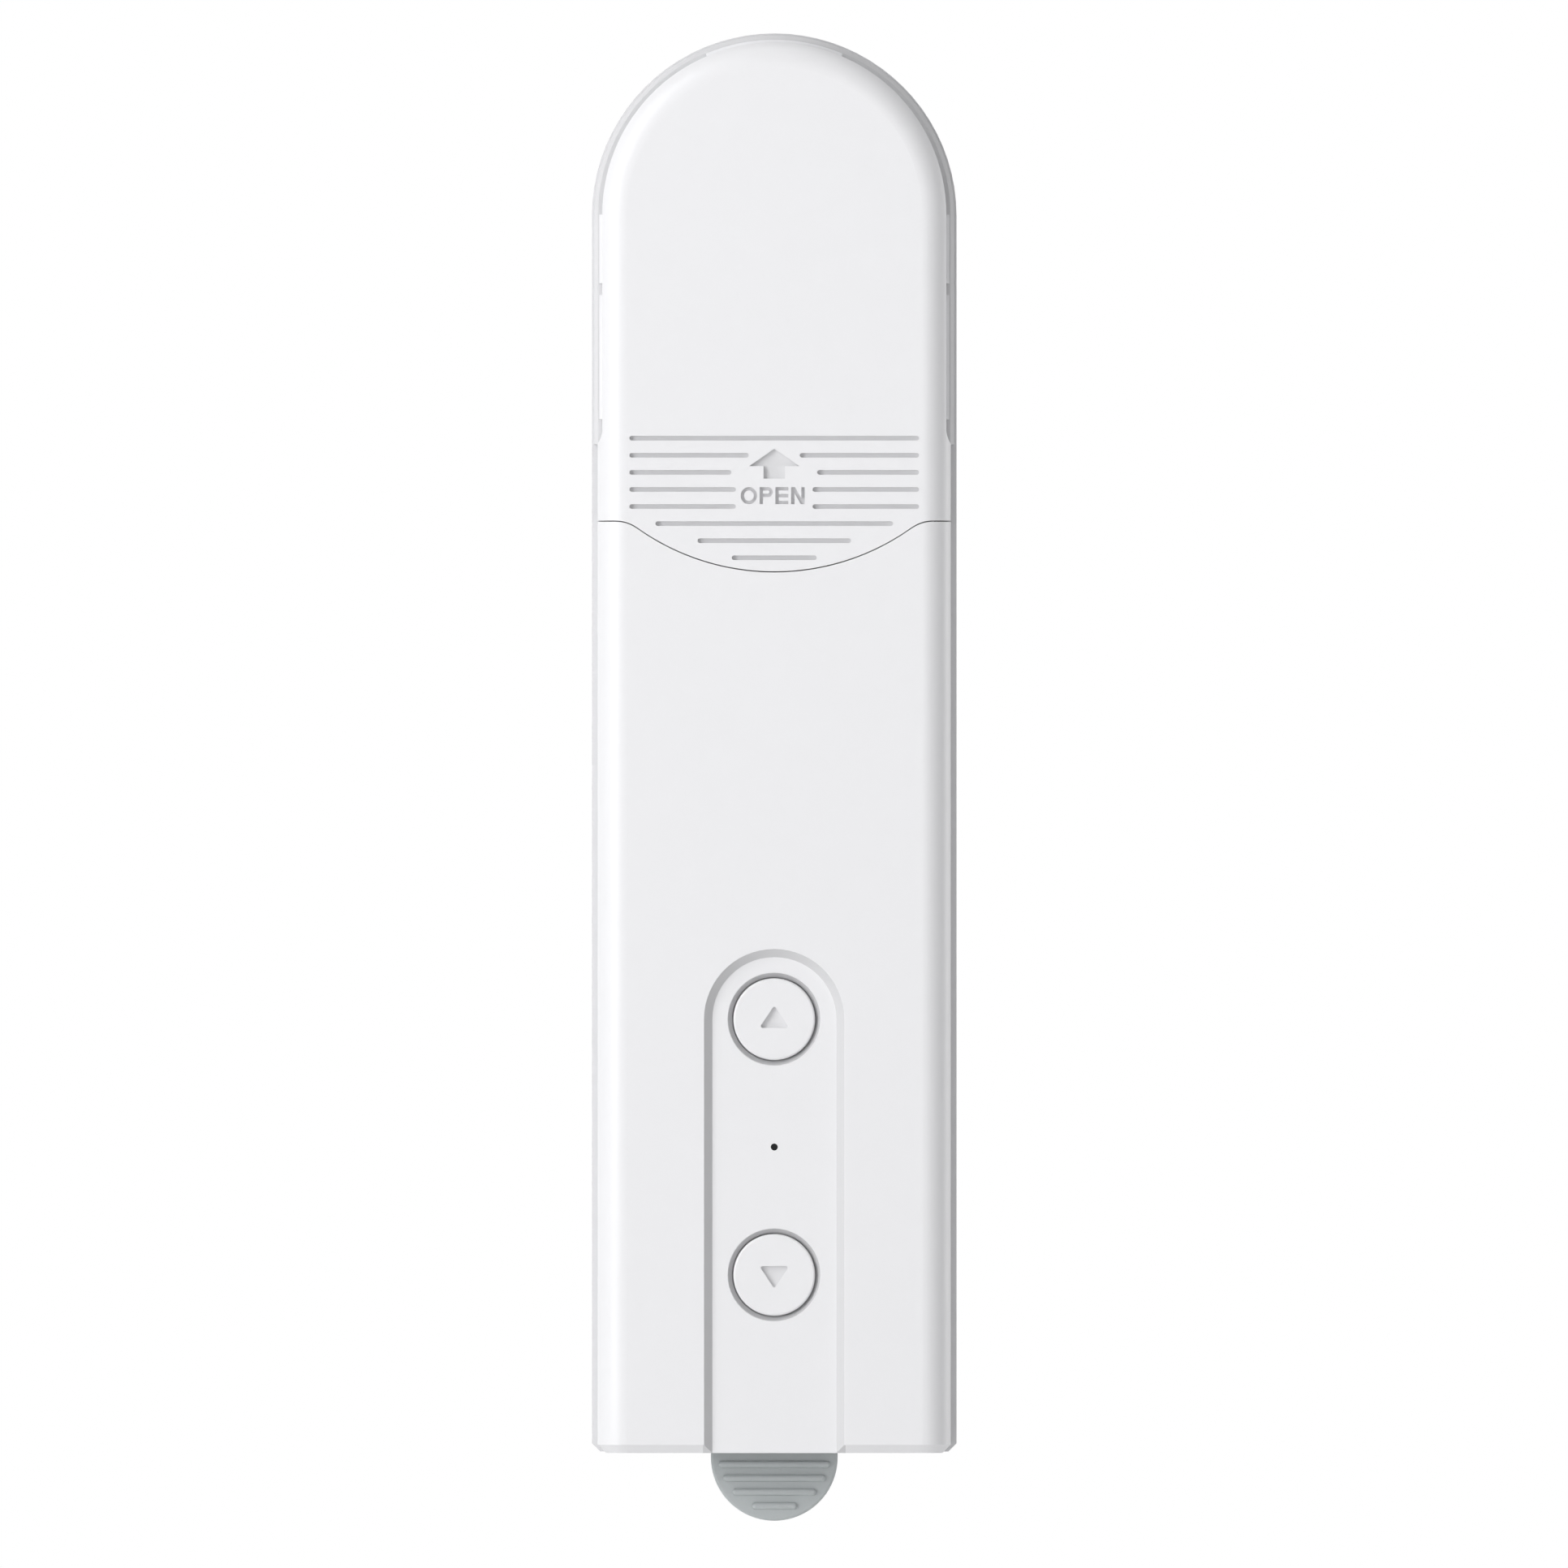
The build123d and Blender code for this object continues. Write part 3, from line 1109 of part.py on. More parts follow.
os.makedirs("parts", exist_ok=True)
for name, shape in PIECES.items():
    export_step(Pos(0, 0, -MOUNT_H) * shape, f"parts/{name}.step")
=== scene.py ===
import json
from math import cos, pi, radians, sin

import bmesh
import bpy
from bpy.props import FloatProperty, FloatVectorProperty, IntProperty, PointerProperty
from mathutils import Matrix, Vector


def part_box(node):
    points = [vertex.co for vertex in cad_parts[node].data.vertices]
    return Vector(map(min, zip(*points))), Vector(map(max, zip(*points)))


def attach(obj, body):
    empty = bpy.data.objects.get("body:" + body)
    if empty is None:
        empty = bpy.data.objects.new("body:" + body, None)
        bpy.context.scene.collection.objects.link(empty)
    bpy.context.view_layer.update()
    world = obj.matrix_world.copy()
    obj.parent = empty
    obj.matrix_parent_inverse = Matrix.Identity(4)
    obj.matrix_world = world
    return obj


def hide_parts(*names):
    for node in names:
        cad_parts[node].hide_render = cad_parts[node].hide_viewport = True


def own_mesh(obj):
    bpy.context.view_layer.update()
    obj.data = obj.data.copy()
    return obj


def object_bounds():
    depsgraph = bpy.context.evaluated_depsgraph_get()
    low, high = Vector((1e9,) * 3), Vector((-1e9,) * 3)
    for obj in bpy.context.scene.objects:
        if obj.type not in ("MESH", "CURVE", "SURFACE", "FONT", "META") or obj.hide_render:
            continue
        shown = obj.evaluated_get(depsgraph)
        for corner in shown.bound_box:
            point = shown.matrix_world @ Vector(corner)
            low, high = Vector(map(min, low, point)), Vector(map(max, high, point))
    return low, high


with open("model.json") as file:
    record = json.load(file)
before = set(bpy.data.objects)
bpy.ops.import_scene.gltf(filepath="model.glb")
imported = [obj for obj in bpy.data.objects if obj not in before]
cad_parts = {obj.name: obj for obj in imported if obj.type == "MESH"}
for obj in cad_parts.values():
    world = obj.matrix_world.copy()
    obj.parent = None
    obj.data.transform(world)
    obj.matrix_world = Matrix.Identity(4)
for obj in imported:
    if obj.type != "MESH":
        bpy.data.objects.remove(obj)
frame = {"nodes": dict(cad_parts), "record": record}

bl_info = {
    "name": "Roller shade motor",
    "version": (1, 0, 0),
    "blender": (4, 5, 0),
    "location": "View3D > Sidebar > Shade Motor",
    "description": "Finishes and fine pieces of a roller shade motor on its packed frame",
    "category": "Object",
}

MM = 0.001
NODES = frame["nodes"]
CAD_LOW, CAD_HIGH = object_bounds()
SLOTS = {part["node"]: part["material_slot"] for part in frame["record"]["subparts"]}

# The camera: its sensor in millimetres, where it aims across and up, and how far behind the front
# face the width of the picture is measured, both in metres
SENSOR = 36
VIEW_CENTRE = (0.0010667, -0.006756)
FACE_DROP = 0.004

# How much the floor glows for the camera alone, and half its width in metres
FLOOR_LIFT = 0.45
FLOOR_HALF = 0.9

# How far out from the wall the lamps aim, and how far off they stand, in metres. Then each lamp's
# name, direction from the object and size.
LAMP_AIM_Y = -0.02
LAMP_DISTANCE = 1.4
LAMPS = (("key", (-1.0, -1.0, 1.0), 0.6), ("side", (-1.0, -1.0, 0.0), 0.6),
         ("front", (0.0, -1.0, 0.0), 0.6), ("top", (0.0, -0.2, 1.0), 0.6),
         ("rim", (1.0, 0.5, 0.1), 0.6), ("back", (-0.5, 1.0, 0.6), 0.8))

# Depths of surface relief in metres, the fineness of the moulds' grain, and how far roughness
# swings within one surface
METAL_RELIEF = 0.0000004
FERRITE_RELIEF = 0.00001
TRACK_RELIEF = 0.00003
FOAM_RELIEF = 0.00012
GRAIN_SCALE = 4500.0
ROUGHNESS_SPREAD = 0.12

# Places in millimetres that bound the painted shade in recesses and on the channel's bevel: how deep
# each shaded place starts, and its outline
COVER_FACE_Y = -39.9
SHELL_FACE_Y = -39.97
BEVEL_BACK_Y = -39.1
CHANNEL_FLOOR_Y = -38.97
SHELL_LOW_Z = -80.0
MARKS_HALF = 16.1
MARKS_Z = (17.0, 31.5)
GAP_REACH = 5.4
BEVEL_REACH = 7.8
TRIANGLE_REACH = 2.6

# Where the leads run, in millimetres: to either side, the depth of the motor's, and how far out
# from the main board's face
MOTOR_LEAD_X = 2.5
MOTOR_LEAD_Y = -33.1
BATTERY_LEAD_X = 3.5
LEAD_OUT = 1.7

# How far to either side the middles of the cells lie, in millimetres
CELL_X = 9.17

# Heights of small parts on a board and of the raised block on the cells' board, in millimetres
RESISTOR_TALL = 0.55
CAPACITOR_TALL = 1.0
CELL_BLOCK_TALL = 0.8

# Tracks of a board: a track's share of its pitch, how far the noise that cuts them moves from one
# track to the next, and how fast it changes along them
TRACK_SHARE = 0.32
TRACK_STEP = 0.11
TRACK_CHANGE = 90.0


# Settings that a user would change

def colour_setting(name, description, default):
    """A colour."""
    return FloatVectorProperty(name=name, description=description, subtype="COLOR", size=3,
                               default=default, min=0, max=1)


def lamp_level(name, default):
    """The brightness of one lamp."""
    return FloatProperty(
        name=f"{name} level",
        description=f"Brightness of a white card that faces the {name.lower()} lamp",
        default=default, min=0, max=5)


class FinishSettings(bpy.types.PropertyGroup):
    """Colours and surfaces of the finishes"""
    shell_white: colour_setting(
        "Shell white", "Colour of the moulded shells and buttons", (0.80, 0.80, 0.816))
    tab_grey: colour_setting("Tab grey", "Colour of the release tab", (0.47, 0.50, 0.505))
    bracket_white: colour_setting("Bracket white", "Colour of the wall bracket", (0.62, 0.62, 0.63))
    board_green: colour_setting(
        "Board green", "Colour of the solder mask on the circuit boards", (0.012, 0.10, 0.045))
    sleeve_blue: colour_setting(
        "Sleeve blue", "Colour of the shrink sleeve on the battery cells", (0.03, 0.11, 0.30))
    shell_roughness: FloatProperty(
        name="Shell roughness", description="How matt the moulded shells are",
        subtype="FACTOR", default=0.42, min=0.05, max=1)
    grain_depth: FloatProperty(
        name="Grain depth", description="Depth of the fine spark grain on moulded plastic",
        subtype="DISTANCE", default=0.000004, min=0, max=0.0001, precision=7)


class PieceSettings(bpy.types.PropertyGroup):
    """Sizes of the fine pieces"""
    pad_corner: FloatProperty(
        name="Pad corner", description="Corner radius of the foam pads",
        subtype="DISTANCE", default=0.0015, min=0.0002, max=0.005)
    spring_wire: FloatProperty(
        name="Spring wire", description="Wire diameter of the tab's coil spring",
        subtype="DISTANCE", default=0.0004, min=0.0001, max=0.001)
    spring_turns: IntProperty(
        name="Spring turns", description="Turns of the tab's coil spring", default=4, min=2, max=8)


class StageSettings(bpy.types.PropertyGroup):
    """Camera, lamps and floor"""
    lens: FloatProperty(
        name="Lens", description="Focal length of the camera in millimetres",
        default=1600, min=50, max=1700)
    frame_width: FloatProperty(
        name="Frame width", description="Width of what the camera sees just behind the front face",
        subtype="DISTANCE", default=0.17173, min=0.05, max=1)
    key_level: lamp_level("Key", 0.335)
    side_level: lamp_level("Side", 0.48)
    front_level: lamp_level("Front", 0.15)
    top_level: lamp_level("Top", 0.12)
    rim_level: lamp_level("Rim", 0.22)
    back_level: lamp_level("Back", 0.5)
    room_level: FloatProperty(
        name="Room level", description="Brightness of the light that comes from all round",
        default=0.22, min=0, max=2)
    floor_drop: FloatProperty(
        name="Floor drop", description="How far the floor lies under the object",
        subtype="DISTANCE", default=0.03, min=0, max=1)


def box_mm(node):
    """A CAD node's box as three (low, high) pairs in millimetres."""
    low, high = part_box(node)
    return [(low[index] / MM, high[index] / MM) for index in range(3)]


# Node helpers

def add_node(tree, kind, **values):
    """A node in a tree, with its own settings or the defaults of its inputs."""
    node = tree.nodes.new(kind)
    for name, value in values.items():
        if name in node.bl_rna.properties:
            setattr(node, name, value)
        else:
            node.inputs[name.replace("_", " ")].default_value = value
    return node


def group_shell(name, inputs, outputs):
    """An empty node group with its named sockets, its input node and its output node."""
    tree = bpy.data.node_groups.new(name, "ShaderNodeTree")
    for label, kind, value in inputs:
        socket = tree.interface.new_socket(label, in_out="INPUT", socket_type=kind)
        socket.default_value = value
    for label, kind in outputs:
        tree.interface.new_socket(label, in_out="OUTPUT", socket_type=kind)
    return tree, tree.nodes.new("NodeGroupInput"), tree.nodes.new("NodeGroupOutput")


def noise(tree, vector, scale, detail=3.0, roughness=0.55):
    """A noise texture on a vector output."""
    node = add_node(tree, "ShaderNodeTexNoise", Scale=scale, Detail=detail, Roughness=roughness)
    tree.links.new(vector, node.inputs["Vector"])
    return node


def math_node(tree, operation, first, second):
    """A math node whose two inputs are sockets or numbers."""
    node = add_node(tree, "ShaderNodeMath", operation=operation)
    for index, value in enumerate((first, second)):
        if isinstance(value, (int, float)):
            node.inputs[index].default_value = value
        else:
            tree.links.new(value, node.inputs[index])
    return node.outputs[0]


def mix_colour(tree, factor, first, second, blend="MIX"):
    """A colour mix whose inputs are sockets, numbers or colours."""
    node = add_node(tree, "ShaderNodeMix", data_type="RGBA", blend_type=blend)
    for index, value in ((0, factor), (6, first), (7, second)):
        if isinstance(value, bpy.types.NodeSocket):
            tree.links.new(value, node.inputs[index])
        elif index:
            node.inputs[index].default_value = (*value[:3], 1)
        else:
            node.inputs[index].default_value = value
    return node.outputs[2]


def spread(tree, value, low, high):
    """A value from 0 to 1 brought to another range."""
    node = add_node(tree, "ShaderNodeMapRange")
    tree.links.new(value, node.inputs["Value"])
    node.inputs["To Min"].default_value = low
    node.inputs["To Max"].default_value = high
    return node.outputs[0]


def object_place(tree):
    """The place on the piece, in metres."""
    return tree.nodes.new("ShaderNodeTexCoord").outputs["Object"]


def centred(tree, value, amount):
    """A value from 0 to 1 brought to either side of nothing, as far as half the amount."""
    return math_node(tree, "MULTIPLY", math_node(tree, "SUBTRACT", value, 0.5), amount)


def toned(tree, colour, tone):
    """A colour times a grey tone."""
    grey = add_node(tree, "ShaderNodeCombineColor")
    for index in range(3):
        tree.links.new(tone, grey.inputs[index])
    return mix_colour(tree, 1.0, colour, grey.outputs[0], "MULTIPLY")


# Shared surface groups

SURFACE_OUTPUTS = (("Colour", "NodeSocketColor"), ("Roughness", "NodeSocketFloat"),
                   ("Height", "NodeSocketFloat"))


def uneven_surface(tree, inp, out, broad, fine, dull):
    """Ends a surface group. Two noises shift its tone, and one of any kind its roughness."""
    drift = centred(tree, broad.outputs["Fac"], inp.outputs["Drift"])
    fleck = centred(tree, fine.outputs["Fac"], inp.outputs["Drift"])
    tone = math_node(tree, "ADD", math_node(tree, "ADD", drift, fleck), 1.0)
    tree.links.new(toned(tree, inp.outputs["Colour"], tone), out.inputs["Colour"])
    rough = centred(tree, dull.outputs["Fac"], ROUGHNESS_SPREAD)
    rough = math_node(tree, "ADD", rough, inp.outputs["Roughness"])
    tree.links.new(rough, out.inputs["Roughness"])
    tree.links.new(fine.outputs["Fac"], out.inputs["Height"])
    return tree


def moulded_grain():
    """The fine spark grain of a mould: height, roughness and a faint drift of tone."""
    tree, inp, out = group_shell(
        "moulded_grain",
        (("Colour", "NodeSocketColor", (0.8, 0.8, 0.8, 1)), ("Drift", "NodeSocketFloat", 0.03),
         ("Roughness", "NodeSocketFloat", 0.45), ("Grain scale", "NodeSocketFloat", GRAIN_SCALE)),
        SURFACE_OUTPUTS)
    place = object_place(tree)
    fine = noise(tree, place, GRAIN_SCALE, detail=2.0)
    tree.links.new(inp.outputs["Grain scale"], fine.inputs["Scale"])
    broad = noise(tree, place, 28.0, detail=2.0)
    flow = noise(tree, place, 420.0, detail=3.0)
    return uneven_surface(tree, inp, out, broad, fine, flow)


def painted_recess_shade():
    """Paints shade into a colour: darkens what lies deeper than a face, within one window of a front
    face, such as the floors of engraved marks, narrow gaps and a bevel.
    """
    tree, inp, out = group_shell(
        "painted_recess_shade",
        (("Colour", "NodeSocketColor", (0.8, 0.8, 0.8, 1)), ("Shade", "NodeSocketFloat", 0.8),
         ("Face", "NodeSocketFloat", -0.04), ("Back", "NodeSocketFloat", 1.0),
         ("Half width", "NodeSocketFloat", 0.01),
         ("Low", "NodeSocketFloat", 0.0), ("High", "NodeSocketFloat", 0.01)),
        (("Colour", "NodeSocketColor"),))
    apart = tree.nodes.new("ShaderNodeSeparateXYZ")
    tree.links.new(object_place(tree), apart.inputs[0])
    sunk = math_node(tree, "GREATER_THAN", apart.outputs["Y"], inp.outputs["Face"])
    width = math_node(tree, "ABSOLUTE", apart.outputs["X"], 0)
    tests = [math_node(tree, "LESS_THAN", apart.outputs["Y"], inp.outputs["Back"]),
             math_node(tree, "LESS_THAN", width, inp.outputs["Half width"]),
             math_node(tree, "GREATER_THAN", apart.outputs["Z"], inp.outputs["Low"]),
             math_node(tree, "LESS_THAN", apart.outputs["Z"], inp.outputs["High"])]
    for test in tests:
        sunk = math_node(tree, "MULTIPLY", sunk, test)
    # How far the painted shade darkens what lies in the window
    less = math_node(tree, "SUBTRACT", 1.0, inp.outputs["Shade"])
    tone = math_node(tree, "SUBTRACT", 1.0, math_node(tree, "MULTIPLY", sunk, less))
    tree.links.new(toned(tree, inp.outputs["Colour"], tone), out.inputs["Colour"])
    return tree


def brushed_metal():
    """Fine drawn lines along one direction, with rubbed and duller patches."""
    tree, inp, out = group_shell(
        "brushed_metal",
        (("Colour", "NodeSocketColor", (0.6, 0.6, 0.6, 1)), ("Stretch", "NodeSocketVector", (1, 1, 1)),
         ("Roughness", "NodeSocketFloat", 0.3), ("Drift", "NodeSocketFloat", 0.15)),
        SURFACE_OUTPUTS)
    place = object_place(tree)
    stretched = add_node(tree, "ShaderNodeVectorMath", operation="MULTIPLY")
    tree.links.new(place, stretched.inputs[0])
    tree.links.new(inp.outputs["Stretch"], stretched.inputs[1])
    lines = noise(tree, stretched.outputs[0], 1800.0, detail=4.0)
    patches = noise(tree, place, 240.0, detail=3.0)
    return uneven_surface(tree, inp, out, patches, lines, lines)


def track_run(tree, across, along, pitch, share):
    """Parallel tracks of a circuit board, each with its own start and end."""
    step = math_node(tree, "FRACT", math_node(tree, "DIVIDE", across, pitch), 0)
    line = math_node(tree, "LESS_THAN", step, TRACK_SHARE)
    lane = math_node(tree, "FLOOR", math_node(tree, "DIVIDE", across, pitch), 0)
    lane = math_node(tree, "MULTIPLY", lane, TRACK_STEP)
    point = tree.nodes.new("ShaderNodeCombineXYZ")
    tree.links.new(lane, point.inputs[0])
    tree.links.new(math_node(tree, "MULTIPLY", along, TRACK_CHANGE), point.inputs[1])
    ends = noise(tree, point.outputs[0], 1.0, detail=1.0)
    shown = math_node(tree, "GREATER_THAN", ends.outputs["Fac"], share)
    return math_node(tree, "MULTIPLY", line, shown)


def board_tracks():
    """Copper tracks and vias that show through the solder mask of a circuit board."""
    tree, inp, out = group_shell(
        "board_tracks",
        (("Mask colour", "NodeSocketColor", (0.01, 0.1, 0.05, 1)),
         ("Track colour", "NodeSocketColor", (0.04, 0.22, 0.09, 1))),
        SURFACE_OUTPUTS)
    place = object_place(tree)
    apart = tree.nodes.new("ShaderNodeSeparateXYZ")
    tree.links.new(place, apart.inputs[0])
    runs = [track_run(tree, apart.outputs["X"], apart.outputs["Z"], 0.0007, 0.52),
            track_run(tree, apart.outputs["Z"], apart.outputs["X"], 0.0009, 0.60)]
    vias = add_node(tree, "ShaderNodeTexVoronoi", Scale=330.0)
    tree.links.new(place, vias.inputs["Vector"])
    dots = math_node(tree, "LESS_THAN", vias.outputs["Distance"], 0.13)
    zones = noise(tree, place, 160.0, detail=1.0)
    raised = math_node(tree, "MAXIMUM", math_node(tree, "MAXIMUM", *runs), dots)
    colour = mix_colour(tree, raised, inp.outputs["Mask colour"], inp.outputs["Track colour"])
    tree.links.new(colour, out.inputs["Colour"])
    tree.links.new(spread(tree, zones.outputs["Fac"], 0.22, 0.34), out.inputs["Roughness"])
    tree.links.new(raised, out.inputs["Height"])
    return tree


# Materials

def new_material(name):
    """A material with its shader, and its tree."""
    material = bpy.data.materials.new(name)
    material.use_nodes = True
    return material, material.node_tree, material.node_tree.nodes["Principled BSDF"]


def surface(name, group, settings, depth=0.0, **shader_values):
    """A material whose colour, roughness and bump come from a shared group."""
    material, tree, shader = new_material(name)
    node = tree.nodes.new("ShaderNodeGroup")
    node.node_tree = group
    for label, value in settings.items():
        socket = node.inputs[label]
        if socket.type == "RGBA":
            socket.default_value = (*value[:3], 1)
        else:
            socket.default_value = value
    tree.links.new(node.outputs["Colour"], shader.inputs["Base Color"])
    tree.links.new(node.outputs["Roughness"], shader.inputs["Roughness"])
    if depth:
        bump = add_node(tree, "ShaderNodeBump", Distance=depth)
        tree.links.new(node.outputs["Height"], bump.inputs["Height"])
        tree.links.new(bump.outputs["Normal"], shader.inputs["Normal"])
    for label, value in shader_values.items():
        shader.inputs[label.replace("_", " ")].default_value = value
    return material


def paint_recess_shade(material, group, window):
    """Puts painted recess shade between a material's grain and its shader."""
    tree = material.node_tree
    shader = tree.nodes["Principled BSDF"]
    painted_shade = tree.nodes.new("ShaderNodeGroup")
    painted_shade.node_tree = group
    for label, value in window.items():
        painted_shade.inputs[label].default_value = value
    tree.links.new(shader.inputs["Base Color"].links[0].from_socket, painted_shade.inputs["Colour"])
    tree.links.new(painted_shade.outputs["Colour"], shader.inputs["Base Color"])
    return material


def dark_pipe():
    """The light pipe, coloured nearly black as painted shade for the pinhole it shows through, with
    faint streaks of tone and roughness.
    """
    material, tree, shader = new_material("pipe_painted_dark")
    streaks = noise(tree, object_place(tree), 900.0)
    painted_dark = mix_colour(tree, streaks.outputs["Fac"], (0.006, 0.006, 0.007), (0.014, 0.014, 0.016))
    tree.links.new(painted_dark, shader.inputs["Base Color"])
    tree.links.new(spread(tree, streaks.outputs["Fac"], 0.3, 0.5), shader.inputs["Roughness"])
    shader.inputs["Specular IOR Level"].default_value = 0.12
    return material


def make_materials(finish):
    """Every finish of the part, keyed by the record's slot names."""
    grain, brushed, tracks, painted_shade = moulded_grain(), brushed_metal(), board_tracks(), painted_recess_shade()

    def plastic(name, colour, roughness, drift=0.03, scale=GRAIN_SCALE, depth=finish.grain_depth,
                **extra):
        """Moulded plastic, or another material with a grain."""
        return surface(name, grain, {"Colour": colour, "Roughness": roughness, "Drift": drift,
                                     "Grain scale": scale}, depth, **extra)

    def metal(name, colour, roughness, stretch=(1, 1, 1), drift=0.07):
        """Metal. Its drawn lines run along the axis with the smallest stretch, if one is smaller."""
        return surface(name, brushed, {"Colour": colour, "Roughness": roughness,
                                       "Stretch": stretch, "Drift": drift}, METAL_RELIEF, Metallic=1.0)

    def white(node, tone=1.0):
        """The shells' white, a little greyer where the tone is under 1."""
        colour = [tone * value for value in finish.shell_white]
        return plastic(f"{node}_white", colour, finish.shell_roughness, 0.012)

    def with_painted_shade(node, *windows):
        """The shells' white with painted shade in its recesses. A window says how light the painted
        shade leaves its place, the depths in Y where it starts and ends, its half width, and its low
        and high ends in Z."""
        material = white(node)
        for amount, face, back, half_width, low, high in windows:
            paint_recess_shade(material, painted_shade, {
                "Shade": amount, "Face": face * MM, "Back": back * MM, "Half width": half_width * MM,
                "Low": low * MM, "High": high * MM})
        return material

    def triangle_shade_window(middle):
        """The window of painted shade in a button's sunk triangle."""
        return (0.88, CHANNEL_FLOOR_Y, 0, TRIANGLE_REACH, middle - TRIANGLE_REACH,
                middle + TRIANGLE_REACH)

    up_z, down_z = (sum(box_mm(f"{which}_button")[2]) / 2 for which in ("up", "down"))
    return {
        "white_plastic": white("shell"),
        "gearbox_housing": white("gearbox_housing", 0.86),
        "rear_housing": white("rear_housing", 0.82),
        # Painted shade on the floors of the cover's engraved marks and grooves
        "chain_cover": with_painted_shade("chain_cover", (0.84, COVER_FACE_Y, 0, MARKS_HALF, *MARKS_Z)),
        # Painted shade in the gaps and cones round the buttons, and on the bevel round the button
        # channel
        "front_shell": with_painted_shade(
            "front_shell",
            (0.70, CHANNEL_FLOOR_Y, 0, GAP_REACH, down_z - GAP_REACH, up_z + GAP_REACH),
            (0.78, SHELL_FACE_Y, BEVEL_BACK_Y, BEVEL_REACH, SHELL_LOW_Z, up_z + BEVEL_REACH)),
        # Painted shade on the floors of the buttons' sunk triangles
        "up_button": with_painted_shade("up_button", triangle_shade_window(up_z)),
        "down_button": with_painted_shade("down_button", triangle_shade_window(down_z)),
        "grey_plastic": plastic("tab_grey", finish.tab_grey, 0.5, 0.06, 3500.0),
        "bracket_plastic": plastic("bracket_white", finish.bracket_white, 0.55, 0.04, 2500.0),
        "black_plastic": plastic("moulding_black", (0.022, 0.022, 0.025), 0.5, 0.2),
        "socket_plastic": plastic("socket_ivory", (0.70, 0.66, 0.54), 0.48, 0.06),
        "wheel_nylon": plastic("wheel_acetal", (0.52, 0.53, 0.545), 0.36, 0.05),
        "gear_nylon": plastic("gear_acetal", (0.76, 0.74, 0.65), 0.33, 0.06),
        "clear_plastic": dark_pipe(),
        "led_resin": plastic("light_resin", (0.86, 0.78, 0.42), 0.2, 0.1),
        "steel": metal("plated_steel", (0.62, 0.63, 0.65), 0.3, (1, 1, 0.05), 0.04),
        "bronze": metal("sintered_bronze", (0.60, 0.39, 0.19), 0.42, drift=0.35),
        "magnet": plastic("magnet_ferrite", (0.035, 0.035, 0.04), 0.45, 0.3, 2500.0, FERRITE_RELIEF),
        "green_board": surface("board_green", tracks,
                               {"Mask colour": finish.board_green,
                                "Track colour": [3 * value for value in finish.board_green]},
                               TRACK_RELIEF, Coat_Weight=0.4, Coat_Roughness=0.12),
        "cell_sleeve": plastic("sleeve_blue", finish.sleeve_blue, 0.24, 0.1, 900.0,
                               Coat_Weight=0.5, Coat_Roughness=0.15),
        "foam_tape": plastic("foam_tape", (0.035, 0.035, 0.037), 0.8, 0.9, 2200.0, FOAM_RELIEF),
        "lead_red": plastic("lead_red", (0.42, 0.012, 0.012), 0.38, 0.1),
        "lead_black": plastic("lead_black", (0.012, 0.012, 0.012), 0.38, 0.2),
        "insulator": plastic("insulator_white", (0.72, 0.72, 0.70), 0.42, 0.05),
        "ceramic": plastic("ceramic_tan", (0.42, 0.30, 0.17), 0.38, 0.12),
        "gold": metal("gilt_contact", (0.80, 0.56, 0.20), 0.25, drift=0.08),
        "copper": metal("copper_wire", (0.62, 0.27, 0.12), 0.32, drift=0.12),
        "nickel": metal("nickel_sheet", (0.60, 0.58, 0.54), 0.30, (1, 0.05, 1), 0.12),
    }


MATERIALS = {}


def finish_node(node):
    """Gives a carried-over CAD node its own material or its slot's."""
    slot = SLOTS[node]
    data = NODES[node].data
    data.materials.clear()
    data.materials.append(MATERIALS.get(node, MATERIALS[slot]))


# Mesh helpers. Sizes are in millimetres, and a place is (x, y, z) in millimetres.

# Each axis, and the direction from it in which a turned profile starts
AXES = {"X": (Vector((1, 0, 0)), Vector((0, 0, 1))),
        "Y": (Vector((0, 1, 0)), Vector((1, 0, 0))),
        "Z": (Vector((0, 0, 1)), Vector((1, 0, 0)))}


def round_edges(bm, edges, radius, segments=2):
    """Rounds edges of a mesh."""
    bmesh.ops.bevel(bm, geom=list(edges), offset=radius * MM, offset_type="OFFSET", segments=segments,
                    profile=0.5, affect="EDGES", material=-1, clamp_overlap=True)


def block(bm, x, y, z, edge=0.08, corner=0.0, corner_axis="Y"):
    """A block between three pairs of places. Its corners round one axis may be fuller than the rest."""
    made = bmesh.ops.create_cube(bm, size=1.0)["verts"]
    low, high = Vector((x[0], y[0], z[0])), Vector((x[1], y[1], z[1]))
    size = Vector([abs(value) for value in high - low])
    bmesh.ops.scale(bm, vec=size * MM, verts=made)
    bmesh.ops.translate(bm, vec=(low + high) / 2 * MM, verts=made)
    edges = {link for vert in made for link in vert.link_edges}
    faces = {link for vert in made for link in vert.link_faces}
    if corner:
        along = AXES[corner_axis][0]
        posts = [link for link in edges
                 if abs((link.verts[0].co - link.verts[1].co).normalized().dot(along)) > 0.9]
        before = set(bm.faces) - faces
        round_edges(bm, posts, corner, 5)
        faces = set(bm.faces) - before
        ends = [face for face in faces if abs(face.normal.dot(along)) > 0.9 or len(face.verts) > 4]
        edges = {link for face in ends for link in face.edges}
    if edge:
        round_edges(bm, edges, edge)


